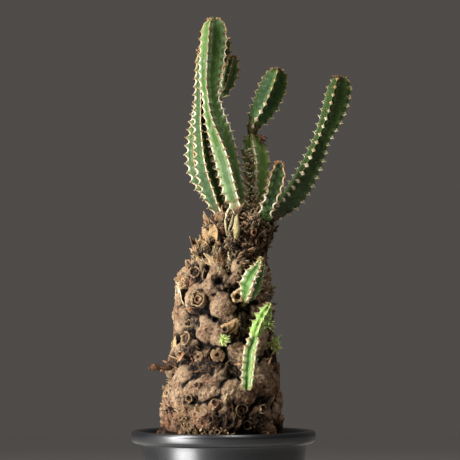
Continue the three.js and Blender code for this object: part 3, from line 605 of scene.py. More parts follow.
def add(tree, kind, sockets=None, out=0, stops=(), **settings):
    """Adds a node with its settings and its sockets' values or links, and gives back one output."""
    made = tree.nodes.new(kind)
    for name, value in settings.items():
        setattr(made, name, value)
    for name, value in (sockets or {}).items():
        if isinstance(value, bpy.types.NodeSocket):
            tree.links.new(value, made.inputs[name])
        else:
            made.inputs[name].default_value = value
    if stops:
        elements = made.color_ramp.elements
        while len(elements) < len(stops):
            elements.new(1.0)
        for element, (position, hex_colour) in zip(elements, stops):
            element.position, element.color = position, linear(hex_colour)
    return made.outputs[out] if len(made.outputs) else None


def per_mm(size):
    """Pattern scale whose features are size mm across."""
    return 1000 / size


def new_material(name, marks=(), patterns=()):
    """An empty material, its tree and Object coordinates, the marks that it reads from the mesh, and its
    noise patterns, each of a size in mm, a detail, a roughness and an upright scale."""
    material = bpy.data.materials.new(name)
    material.use_nodes = True
    tree = material.node_tree
    tree.nodes.clear()
    place = add(tree, "ShaderNodeTexCoord", out=3)
    masks = [add(tree, MARK, out=2, attribute_name=mark) for mark in marks]
    for size, detail, rough, upright in patterns:
        way = add(tree, STRETCH, {"Vector": place, "Scale": (1, 1, upright)})
        look = {"Scale": per_mm(size), "Detail": detail, "Roughness": rough}
        masks.append(add(tree, NOISE, {"Vector": way, **look}))
    return material, tree, place, *masks


def coated(tree, body, *coats):
    """Lays tints over a body, each with its mask, the mask's values where it starts and is full, the most and
    the least share, and a second mask that it is multiplied by."""
    for tint, share, *reach in coats:
        start, full, most, least, by = reach + [None, 1, 1, 0, None][len(reach):]
        if start is not None:
            share = add(tree, RANGE, {0: share, 1: start, 2: full, 3: least, 4: most}, **SOFT)
        if by is not None:
            share = add(tree, MATH, {0: share, 1: by}, operation="MULTIPLY")
        tint = linear(tint) if isinstance(tint, str) else tint
        body = add(tree, MIX, {0: share, 6: body, 7: tint}, 2, data_type="RGBA")
    return body


def surfaced(material, body, bumps, sockets):
    """Closes a material with its shader, over bumps of a pattern, a height in mm and a strength."""
    tree, normal = material.node_tree, {}
    for height, rise, strength in bumps:
        bump = {"Height": height, "Distance": rise * MM, "Strength": strength}
        normal = {"Normal": add(tree, BUMP, {**bump, **normal})}
    shader = add(tree, SHADER, {"Base Color": body, **sockets, **normal})
    add(tree, SURFACE, {"Surface": shader})
    return material


def moulded_polypropylene(colour):
    # Polypropylene, injection moulded in a polished steel mould: a near-black satin skin on which a lamp shows
    # as one bright band with soft ends. Handling leaves faint hazy clouds, and a few specks of grit lie on it.
    material, tree, _, cloud, grain, grit = new_material(
        "satin_moulded_polypropylene", (), [(24, 3, 0.5, 1), (0.7, 2, 0.5, 1), (1.4, 2, 0.7, 1)])
    body = coated(tree, colour, ("#1f2023", cloud, 0.35, 0.68, 0.45), ("#6f6a62", grit, 0.68, 0.78, 0.3))
    rough = add(tree, RANGE, {0: cloud, 1: 0.3, 2: 0.7, 3: 0.27, 4: 0.34}, **SOFT)
    return surfaced(material, body, [(grain, 0.04, 0.2)], {
        "Roughness": rough, "IOR": 1.5, "Specular IOR Level": 0.6, "Coat Weight": 0.55,
        "Coat Roughness": 0.32, "Coat IOR": 1.5})


def potting_mix():
    # Peat and composted bark, sieved and dried on top: dull dark crumbs of 1 to 2 mm with paler wood fibres.
    material, tree, _, shade, crumbs = new_material("dry_peat_potting_mix", ["shade"], [(1.6, 5, 0.7, 1)])
    peat = add(tree, RAMP, {"Fac": crumbs}, stops=PEAT_STOPS)
    body = coated(tree, peat, ("#5f4630", shade, 0.4, 1, 0.65))
    return surfaced(material, body, [(crumbs, 0.8, 0.9)], {"Roughness": 0.96})


def weathered_bark(middle, pale, red):
    # Cork bark of an old caudex, grown and weathered: tan-brown skin stretched smooth over each lump, with
    # fine upright wrinkles, pale dusty grains and reddish and greyish patches. Raised ridges are paler, a
    # painted highlight, and hollows are near black, painted shade. Where litter lies and in the clefts between
    # lumps the bark is dark brown with dots of near black, partly the litter's own colour and partly painted
    # shade.
    material, tree, place, cavity_shade, ridge_highlight, debris_and_shade, stain, flush, patch, mottle, fine, fibre = new_material(
        "weathered_caudex_bark", BARK_MARKS,
        [(30, 3, 0.5, 1), (11, 5, 0.6, 1), (3.6, 6, 0.75, 1), (1.5, 5, 0.7, 1), (1.6, 4, 0.65, 0.28)])
    height = add(tree, "ShaderNodeSeparateXYZ", {0: place}, 2)
    low = add(tree, RANGE, {0: height, 1: 0.2, 2: 0.16, 3: 0.25, 4: 0.8}, **SOFT)
    pore = add(tree, "ShaderNodeTexVoronoi", {"Vector": place, "Scale": per_mm(3.4)})
    pore = add(tree, RANGE, {0: pore, 1: 0.42, 2: 0.22}, **SOFT)
    body = coated(
        tree, middle, (pale, patch, 0.36, 0.64), (red, flush, 0.48, 0.66, 0.7),
        ("#5b4d40", flush, 0.42, 0.3, 0.6), ("#2e1f14", mottle, 0.48, 0.35, 0.88),
        ("#bea078", mottle, 0.53, 0.66, 0.62), ("#24170e", fine, 0.46, 0.36, 0.75),
        ("#d3bb96", fine, 0.56, 0.68, 0.6), ("#77442c", mottle, 0.36, 0.6, 0.85, 0.25, stain),
        ("#48301f", fibre, 0.5, 0.38, 1, 0, low),
        # Ridges paler: painted highlight. Litter and clefts darker: litter's own colour and painted shade.
        ("#b39673", ridge_highlight, 0.15, 0.9, 0.55), ("#1a0f07", fibre, 0.62, 0.46, 1, 0.55, debris_and_shade),
        # Dots of near black in litter and clefts, and near black in hollows: painted shade.
        ("#0a0503", debris_and_shade, 0.2, 0.9, 1, 0.05, pore), ("#0c0704", cavity_shade, -0.05, -1.05, 0.97))
    return surfaced(material, body, [(mottle, 2.4, 0.7), (fine, 1.2, 0.9), (fibre, 0.6, 0.6)],
                    {"Roughness": 0.9, "Specular IOR Level": 0.25})


def papery_bark(name, stops, pit_shade_and_dark_tone):
    # Outer bark and stalks that dried, split and curled off: thin sheets from dark brown to bleached tan,
    # streaked by fibres about 1 mm apart, with paler frayed edges and a rusty inner face where they tore not
    # long ago.
    material, tree, _, shade, warm, depth, rim, fibre, mottle = new_material(
        name, FLAKE_MARKS, [(1.2, 5, 0.7, 0.3), (3.5, 4, 0.6, 1)])
    dried = add(tree, RAMP, {"Fac": shade}, stops=stops)
    body = coated(
        tree, dried, ("#97583a", warm), ("#3f2918", fibre, 0.5, 0.64, 0.75),
        ("#c8b18c", mottle, 0.52, 0.72, 0.4), ("#5a3c26", mottle, 0.46, 0.34, 0.5),
        # Darker by the mark of depth: painted shade in the pits and grooves of scars, a random dark tone on
        # pegs.
        ("#c9b48c", rim, None, 1, 1, 0, 0.3), (pit_shade_and_dark_tone, depth))
    return surfaced(material, body, [(fibre, 0.5, 0.7)], {"Roughness": 0.85, "Specular IOR Level": 0.2})


def waxy_skin(name, deep, fresh, bright, corky):
    # Living skin under a thin bloom of wax: matt green that lets a little light through, paler in streaks and
    # dots, with dark growth lines across it. Each rib ends in a horny cream line, brown at its teeth and tan
    # at the tip.
    material, tree, _, margin, face, tip, tooth, base, broad, streak, speck = new_material(
        name, STEM_MARKS, [(15, 3, 0.5, 0.5), (4.2, 4, 0.6, 0.5), (1.3, 3, 0.6, 1)])
    lined = add(tree, RANGE, {0: broad, 1: 0.44, 2: 0.6, 4: 0.55}, **SOFT)
    lined = add(tree, MATH, {0: lined, 1: tooth}, operation="MULTIPLY")
    green = coated(
        tree, deep, (fresh, broad, 0.36, 0.66), (bright, streak, 0.5, 0.72, 0.5),
        (bright, face, 0.5, 0.1, 0.45), (deep, lined, None, 1, 1, 0, face),
        ("#c6cfa4", speck, 0.64, 0.73, 0.5), (corky, streak, 0.34, 0.24, 0.6),
        (corky, speck, 0.4, 0.56, 1, 0, base))
    horn = coated(tree, linear("#bba97f"), ("#e6dcc2", streak, 0.4, 0.62), ("#ab8650", tip, 0.1, 0.95, 0.8),
                  ("#7a4628", speck, 0.36, 0.6, 0.95, 0.45, tooth))
    rough = add(tree, RANGE, {0: margin, 1: 0.2, 2: 0.8, 3: 0.5, 4: 0.8}, **SOFT)
    body = coated(tree, green, (horn, margin, 0.4, 0.7))
    return surfaced(material, body, [(streak, 0.4, 0.35), (speck, 0.12, 0.4)], {
        "Roughness": rough, "IOR": 1.42, "Specular IOR Level": 0.35, "Subsurface Weight": 0.1,
        "Subsurface Radius": (0.4, 1.0, 0.25), "Subsurface Scale": 0.0015})


def dry_spine():
    # Spines and stipules of dried horn: hard, dull points, cream when old and red-brown when young.
    material, tree, _, shade, grain = new_material("dried_horn_spine", ["shade"], [(0.8, 3, 0.5, 1)])
    body = coated(tree, add(tree, RAMP, {"Fac": shade}, stops=HORN_STOPS), ("#5a3a26", grain, 0.4, 0.7, 0.35))
    return surfaced(material, body, [(grain, 0.1, 0.4)], {"Roughness": 0.6})


def young_leaf(deep, bright):
    # Soft young leaves, thin enough to glow against the light: bright yellow-green, paler along the midrib.
    material, tree, _, shade, rim, vein = new_material(
        "tender_young_leaf", ["shade", "rim"], [(1.2, 3, 0.5, 1)])
    body = coated(
        tree, deep, (bright, shade), ("#d6e494", vein, 0.5, 0.7, 0.35), ("#e2e6a8", rim, None, 1, 1, 0, 0.35))
    return surfaced(material, body, [(vein, 0.15, 0.4)], {
        "Roughness": 0.5, "Subsurface Weight": 0.2, "Subsurface Radius": (0.5, 1.0, 0.2),
        "Subsurface Scale": 0.001})


# Pieces.


def pot_block(settings):
    """The pot's wall turned from its profile, with its corners rounded."""
    block = Block()
    wall = turned(WALL_PROFILE, settings.steps)
    corners = [e for e in wall.edges if len(e.link_faces) == 2 and e.calc_face_angle() > 0.25
               and abs(e.verts[0].co.z - e.verts[1].co.z) < 1e-4]
    bmesh.ops.bevel(wall, geom=corners, offset=settings.rounding / MM, affect="EDGES", segments=3,
                    profile=0.5, material=-1, clamp_overlap=True)
    block.take(wall)
    return block


def drill(piece, spots, radius, low, high):
    """Cuts upright round holes through a piece at each spot, then keeps the cut mesh."""
    cutter = bmesh.new()
    for x, y in spots:
        middle = Matrix.Translation((x * MM, y * MM, (low + high) / 2 * MM))
        bmesh.ops.create_cone(cutter, cap_ends=True, segments=32, radius1=radius * MM, radius2=radius * MM,
                              depth=(high - low) * MM, matrix=middle)
    mesh = bpy.data.meshes.new("drill")
    cutter.to_mesh(mesh)
    cutter.free()
    tool = bpy.data.objects.new("drill", mesh)
    bpy.context.scene.collection.objects.link(tool)
    cut = piece.modifiers.new("drain_holes", "BOOLEAN")
    cut.object, cut.operation, cut.solver = tool, "DIFFERENCE", "EXACT"
    bpy.context.view_layer.update()
    done = bpy.data.meshes.new_from_object(piece.evaluated_get(bpy.context.evaluated_depsgraph_get()))
    piece.modifiers.clear()
    old, name = piece.data, piece.data.name
    piece.data = done
    bpy.data.meshes.remove(old)
    done.name = name
    bpy.data.objects.remove(tool)
    bpy.data.meshes.remove(mesh)


def soil_block():
    """Filled potting mix with a crumbly top, open in the middle for the root."""
    block = Block("shade")
    profile = [(48.6, 96), (49.3, 119), (52, 119), (55, 119), (58, 119), (60.5, 118.6), (62.5, 117.9),
               (64, 116.4), (58.5, 60), (51.8, 6.7), (26, 6.7), (31, 69), (42, 83.5)]
    bed = turned(profile, 120, closed=True)
    bmesh.ops.subdivide_edges(bed, edges=[e for e in bed.edges if all(v.co.z > 116 for v in e.verts)], cuts=1,
                              use_grid_fill=True)
    for vert in bed.verts:
        if vert.co.z > 117:
            vert.co.z += 1.1 * noise.fractal(vert.co / 3.5, 0.9, 2.0, 3) - 0.4
        if vert.co.xy.length < 53:
            vert.co.x -= 2.5 * (1 if vert.co.z > 72 else 0.8)
    block.take(bed, shade=0.2)
    draw = Draws(551)
    for _ in range(SOIL_CRUMBS):
        turn, reach = draw(0, 2 * math.pi), math.sqrt(draw(53 ** 2, 62.5 ** 2))
        size = draw(0.7, 2.2)
        crumb = bmesh.new()
        bmesh.ops.create_icosphere(crumb, subdivisions=1, radius=size)
        squash = Matrix.Diagonal((draw(0.7, 1.5), draw(0.6, 1.1), draw(0.4, 0.8), 1))
        spin = Matrix.Rotation(draw(0, 6.28), 4, (draw(-1, 1), draw(-1, 1), 1.2))
        x, y, z = reach * math.cos(turn) - 0.3, reach * math.sin(turn), SOIL_TOP - 0.2 + 0.3 * size
        block.take(crumb, Matrix.Translation((x, y, z)) @ spin @ squash, shade=draw(0, 1))
    return block


def trunk_block(trunk):
    rows = len(trunk.z)

    def place(column, row):
        i = np.clip(row - 1, 0, rows - 1)
        reach = np.where((row == 0) | (row == rows + 1), 0.0, trunk.radius[i, column])
        turn = np.radians(column * 360 / trunk.AROUND)
        points = np.stack([trunk.shift[i] + reach * np.sin(turn), -reach * np.cos(turn), trunk.z[i]], -1)
        return points, [table[i, column] for table in (trunk.cavity_shade, trunk.ridge_highlight, trunk.debris_and_shade, trunk.stain)]
    block = Block(*BARK_MARKS)
    block.take(wrapped(trunk.AROUND, rows + 1, place, BARK_MARKS))
    return block


def branch_scar(block, trunk, draw, angle, z, radius, kind, shade, warm=0.0):
    """One cup left by a shed branch, with a torn, uneven rim."""
    shape = CUP_SHAPES[kind]
    steps = 36 if radius > 4 else 20
    whole = kind in ("double_ring", "square_hole")
    cup = turned([(reach * radius, height) for reach, height, _ in shape], steps)
    depth, rim = cup.verts.layers.float.new("depth"), cup.verts.layers.float.new("rim")
    offset = draw(0, 100)
    for vert in cup.verts:
        reach, height = vert.co.xy.length / radius, vert.co.z
        near = min(shape, key=lambda spot: (spot[0] - reach) ** 2 + (spot[1] - height) ** 2 / 9)
        # The mark of depth paints shade into the pits and grooves.
        vert[depth] = near[2]
        turn = math.atan2(vert.co.y, vert.co.x)
        x, y = math.cos(turn), math.sin(turn)
        torn = noise.fractal(Vector((x * 1.6 + offset, y * 1.6, reach)), 0.8, 2.0, 3)
        raised = float(smooth(0.5, 1.0, reach) * smooth(0.5, 2.5, height))
        vert[rim] = raised * float(smooth(1.6, 2.8, height))
        broken = float(smooth(0.1, 0.5, noise.noise(Vector((x * 1.1, y * 1.1, offset)))))
        crumbly = noise.noise(Vector((x * 5 + offset, y * 5, height)))
        vert.co.z += (torn * 1.9 + crumbly * 0.8 - (1.4 if whole else 3.4) * broken) * raised
        stretch = 1 + 0.26 * torn + 0.1 * crumbly
        if kind == "square_hole" and 0 < reach < 0.6:
            stretch *= 0.86 / max(abs(math.cos(turn + 0.5)), abs(math.sin(turn + 0.5)))
        vert.co.x *= stretch
        vert.co.y *= stretch
    block.take(cup, trunk.seat(angle, z, -0.3, draw(0, 6.28), draw(-0.15, 0.15)), shade=shade, warm=warm)


def scars_block(trunk):
    """The cups of shed branches: those of the solids, then smaller ones."""
    block = Block(*FLAKE_MARKS)
    draw = Draws(977)
    kinds = ["double_ring", "square_hole", "disc", "cup", "cup", "stub", "cup"]
    shades = [0.5, 0.82, 0.42, 0.45, 0.55, 0.35, 0.8]
    for number, (angle, z, radius) in enumerate(trunk.scars):
        kind = kinds[number] if number < len(kinds) else draw.pick(sorted(CUP_SHAPES)[:3])
        shade = shades[number] if number < len(shades) else draw(0.35, 0.8)
        branch_scar(block, trunk, draw, angle, z, radius, kind, shade, 0.3 if number in (4, 5) else 0.0)
    for scar in SMALL_SCARS:
        branch_scar(block, trunk, draw, *scar)
    placed, i = list(trunk.scars) + [scar[:3] for scar in SMALL_SCARS], 0
    wanted = len(placed) + 30
    while len(placed) < wanted:
        angle, z = (i * GOLDEN_TURN + draw(-12, 12)) % 360, 126 + 172 * (i * GOLDEN_SHARE % 1)
        radius = draw(1.8, 3.4)
        i += 1
        buried = trunk.looked_up(trunk.debris_and_shade, angle, z) > 0.25
        if buried and all(away(angle, z, spot) > spot[2] + radius + 2 for spot in placed):
            placed.append((angle, z, radius))
            kind, shade = draw.pick(["cup", "stub", "stub"]), draw(0.2, 0.65)
            branch_scar(block, trunk, draw, angle, z, radius, kind, shade)
    return block


def bark_flake(draw, length, width, curl, ragged, cells, thickness=0.5, stand=0):
    """A torn papery flake rooted at the origin: it runs up Y, and its free end curls out along Z."""
    offset = Vector((draw(0, 50), draw(0, 50), 0))
    cup, taper, skew = draw(-0.6, 0.6), draw(0.3, 1.0), draw(-0.45, 0.45)
    taper, skew = (max(taper, 0.85), 0.4 * skew) if stand else (taper, skew)

    def place(u, v):
        torn = noise.noise(Vector((u * 1.7, v * 2.3, 0)) + offset)
        nick = noise.noise(Vector((u * 4.3, v * 5.1, 7)) + offset)
        wide = width / 2 * (1 - (1 - taper) * v) * max(0.4, 1 + ragged * (torn + 0.5 * nick))
        wide *= math.sqrt(1 - 0.85 * v ** 4) if stand else 1
        tear = noise.noise(Vector((u * 4.6, 9, 0)) + offset)
        run = length * v * max(0.4, 1 + skew * u + ragged * (0.6 * torn + 1.2 * tear))
        bend, along, lift = curl * v, run, 0
        if abs(bend) >= 1e-4:
            along, lift = run * math.sin(bend) / bend, run * (1 - math.cos(bend)) / bend
        lift += stand * float(smooth(0, 0.25, v)) + cup * u * u * width * 0.3 + torn * 0.7 + 0.4 * nick
        return Vector((u * wide, along, lift))
    return plate(cells, cells, place, thickness)


def littered(trunk, draw, spots, every, swing, crown_low, crown_high, low, tall, least):
    """Places where debris lies on the trunk, one in every few of them in the crown and the rest below it."""
    for i in range(spots):
        crown = i % every == 0
        angle = (i * GOLDEN_TURN + draw(-swing, swing)) % 360
        z = draw(crown_low, crown_high) if crown else low + tall * (i * GOLDEN_SHARE % 1)
        if away(angle, z, FOLDED_CRUST) < FOLDED_REACH:
            continue
        if draw(0, 1) <= least + (1 - least) * trunk.looked_up(trunk.debris_and_shade, angle, z):
            yield crown, angle, z


def flakes_block(trunk):
    """Curled flakes: those of the solids, the large ones of the photographed side, then many small ones."""
    block = Block(*FLAKE_MARKS)
    draw = Draws(3021)
    for angle, z, length, width, lift, roll in trunk.flakes:
        flake = bark_flake(draw, length + 1.5, width, draw(-0.5, 0.9), 0.28, 5)
        block.take(flake, trunk.seat(angle, z, -2, -roll, -0.55 * lift), shade=draw(0, 0.36),
                   warm=max(0, draw(-0.9, 0.3)))
    for angle, z, length, width, curl, lift, roll, shade, *warm in SHEETS:
        ragged, stand = (0.16, 1.6) if length > 12 else (0.35, 0)
        flake = bark_flake(draw, length + 2, width, curl, ragged, 9, 0.6, stand)
        block.take(flake, trunk.seat(angle, z, -1.6, roll, -lift), shade=shade, warm=sum(warm))
    for crown, angle, z in littered(trunk, draw, FLAKE_SPOTS, 4, 20, 264, 304, 124, 145, 0.06):
        size = draw(0.4, 1) ** 1.5
        flake = bark_flake(draw, 1.5 + (3.4 if crown else 4.2) * size, 1.2 + (4.2 if crown else 3.2) * size,
                           draw(-0.8, 2.2), 0.4, 3)
        roll = draw(-0.9, 0.9) if crown else draw(-3.1, 3.1)
        # Crown bits are darker, more so at its front and right: partly their own dark brown, partly painted
        # shade.
        dark = 1 if not crown else 0.3 if (angle + 45) % 360 < 165 else 0.6
        shade = min(1, draw(0, 1.05) ** 2.2) * dark
        lean = draw(0, 0.5 if crown else 0.6)
        block.take(flake, trunk.seat(angle, z, -0.5, roll, -lean), shade=shade, warm=max(0, draw(-1.9, 0.6)))
    return block


def litter_block(trunk):
    """Dry pegs, crumbs and fallen stalks in the crown and the clefts, and the short twig at the left edge."""
    block = Block(*FLAKE_MARKS)
    draw = Draws(817)
    for crown, angle, z in littered(trunk, draw, PEG_SPOTS, 3, 25, 268, 307, 122, 150, 0.05):
        seat = trunk.seat(angle, z, -0.5, draw(-3.1, 3.1), draw(0.6, 1.4) * draw.pick((-1, 1)))
        length, radius = draw(1.2, 2.6 if crown else 3.8), draw(0.25, 0.7)
        peg = stick((0, 0, 0), (0, 0, length), radius, radius * draw(0.3, 1.0), 5)
        # Crown pegs are darker, more so at its front and right: partly their own dark brown, partly painted
        # shade.
        dark = 1 if not crown else 0.35 if (angle + 45) % 360 < 165 else 0.5
        shade = min(1, draw(0, 1.05) ** (2.4 if crown else 1.8)) * dark
        block.take(peg, seat, shade=shade, depth=draw(0, 0.4))
    for angle, z, length, radius, roll, lean, shade in STICKS:
        bow = [(0, -length / 2, 0.2), (length * 0.08, 0, 1.1), (0, length / 2, 0.6)]
        rod = bent_rod(bow, (0.7 * radius, 0.8 * radius, 0.5 * radius), 6)
        block.take(rod, trunk.seat(angle, z, -0.4, roll, lean), shade=0.4 * shade)
    ends = [trunk.at(-86, 180, out) for out in (-4, 2, 5, 8, 11.5, 14)]
    ends = [p + Vector((0, 0, lift)) for p, lift in zip(ends, (0, 0.5, -0.3, 0.9, 0.6, 0.8))]
    twig = bent_rod(ends, (2.2, 2.0, 1.6, 2.6, 3.2, 2.0), 12)
    for vert in twig.verts:
        vert.co += vert.normal * 0.5 * noise.fractal(vert.co / 2.2, 0.8, 2.0, 2)
    block.take(twig, shade=0.1)
    for i in range(TWIG_CRUMBS):
        crumb = bmesh.new()
        bmesh.ops.create_icosphere(crumb, subdivisions=1, radius=draw(0.6, 1.5))
        spot = ends[1 + i % 5] + Vector((draw(-2, 2), draw(-2.4, 2.4), draw(-2.2, 2.2)))
        block.take(crumb, Matrix.Translation(spot), shade=draw(0.05, 0.5), warm=max(0, draw(-0.6, 0.2)))
    for roll, out, long in ((0.3, 1.0, 7), (-0.5, 1.5, 6), (1.2, 0.5, 5)):
        peg = stick((0, 0, 0), (1.0, 0.6, long), 0.8, 0.4, 5)
        block.take(peg, trunk.seat(-80, 184, out - 2, roll, 0.5), shade=0.6)
    return block


def spindle_block(trunk):
    """The pale dry fruit stalk at the foot of the stems, and the split husk that loops up beside it."""
    block = Block(*FLAKE_MARKS)
    front = trunk.at(0, 287, 0).y
    stalk = [(10.2, 3, 282.5), (10.4, -0.6, 284.5), (10.6, -2, 287), (10.8, -2.8, 289.5),
             (11, -3, 292), (11.1, -2.8, 295), (11.1, -2.4, 298), (11, -1.8, 302.5)]
    stalk = [(x, front + y, z) for x, y, z in stalk]
    husk = [(4.6, -25, 284.5), (3.0, -27.4, 287), (1.9, -28.2, 292.5), (1.8, -28.4, 298.1),
            (2.6, -27.6, 303.6), (4.6, -26.6, 307.7), (7.2, -26, 307.6), (9.0, -26, 304.5),
            (9.8, -26.4, 300.6), (9.4, -27, 296.6), (8.0, -27.6, 292), (6.2, -27.8, 288.6)]
    blade = [(7.8, -25.8, 303), (7.0, -26.8, 298.5), (5.6, -27.6, 294), (3.9, -28, 290)]
    for rod, radii, sides, shade in (
            (stalk, (1.2, 1.8, 2.4, 2.7, 2.5, 1.9, 1.3, 0.8), 14, 0.3),
            (husk, (0.5, 0.8, 0.95, 1, 1, 0.95, 0.95, 0.9, 0.8, 0.7, 0.6, 0.4), 7, 0.7),
            (blade, (0.5, 1, 1, 0.4), 6, 0.6)):
        block.take(bent_rod(rod, radii, sides), shade=shade)
    return block


class StemLine:
    """A smooth line through a stem's points, with the rib radius and a level frame at each place on it."""

    def __init__(self, path, peg):
        points = np.array([p[:3] for p in path], float)
        back = points[0] - points[1]
        nodes = np.vstack([points[0] + back / np.linalg.norm(back) * peg, points])
        radii = np.array([path[0][3]] + [p[3] for p in path], float)
        ghost = np.vstack([2 * nodes[0] - nodes[1], nodes, 2 * nodes[-1] - nodes[-2]])
        t = np.linspace(0, len(nodes) - 1, 2401)
        i = np.minimum(t.astype(int), len(nodes) - 2)
        f = (t - i)[:, None]
        p = [ghost[i + k] for k in range(4)]
        d = [np.sqrt(np.linalg.norm(p[k + 1] - p[k], axis=1, keepdims=True)) for k in range(3)]
        m1 = ((p[1] - p[0]) / d[0] - (p[2] - p[0]) / (d[0] + d[1]) + (p[2] - p[1]) / d[1]) * d[1]
        m2 = ((p[2] - p[1]) / d[1] - (p[3] - p[1]) / (d[1] + d[2]) + (p[3] - p[2]) / d[2]) * d[1]
        self.line = (p[1] + f * m1 + f ** 2 * (3 * (p[2] - p[1]) - 2 * m1 - m2)
                     + f ** 3 * (2 * (p[1] - p[2]) + m1 + m2))
        f = f[:, 0]
        self.radius = radii[i] + (radii[i + 1] - radii[i]) * (0.4 * f * f * (3 - 2 * f) + 0.6 * f)
        self.run = np.concatenate([[0], np.cumsum(np.linalg.norm(np.diff(self.line, axis=0), axis=1))])
        self.length = self.run[-1]
        self.ribbed = peg + 4

    def at(self, s):
        """Point, way, front and side vectors and rib radius at distances s along the stem."""
        s = np.asarray(s, float)
        point, ahead, behind = (
            np.stack([np.interp(run, self.run, self.line[:, k]) for k in range(3)], -1)
            for run in (s, s + 0.4, s - 0.4))
        way = ahead - behind
        way /= np.linalg.norm(way, axis=-1, keepdims=True)
        front = np.zeros_like(way)
        level = np.abs(way[..., 1]) > 0.8
        front[..., 0], front[..., 1] = np.where(level, 1, 0), np.where(level, 0, -1)
        front -= way * np.sum(front * way, -1, keepdims=True)
        front /= np.linalg.norm(front, axis=-1, keepdims=True)
        return point, way, front, np.cross(way, front), np.interp(s, self.run, self.radius)

    def frame_at(self, s):
        """The same at one distance, as vectors and a number."""
        *vectors, radius = self.at(s)
        return *(Vector(v) for v in vectors), float(radius)


# Rows of points from one tooth to the next, points from one rib to the next, and sharpness of a valley.
ROW_SHARES = (0, 0.03, 0.09, 0.18, 0.32, 0.5, 0.68, 0.82, 0.91, 0.97)
QUARTER = 16
CREASE = 2.5


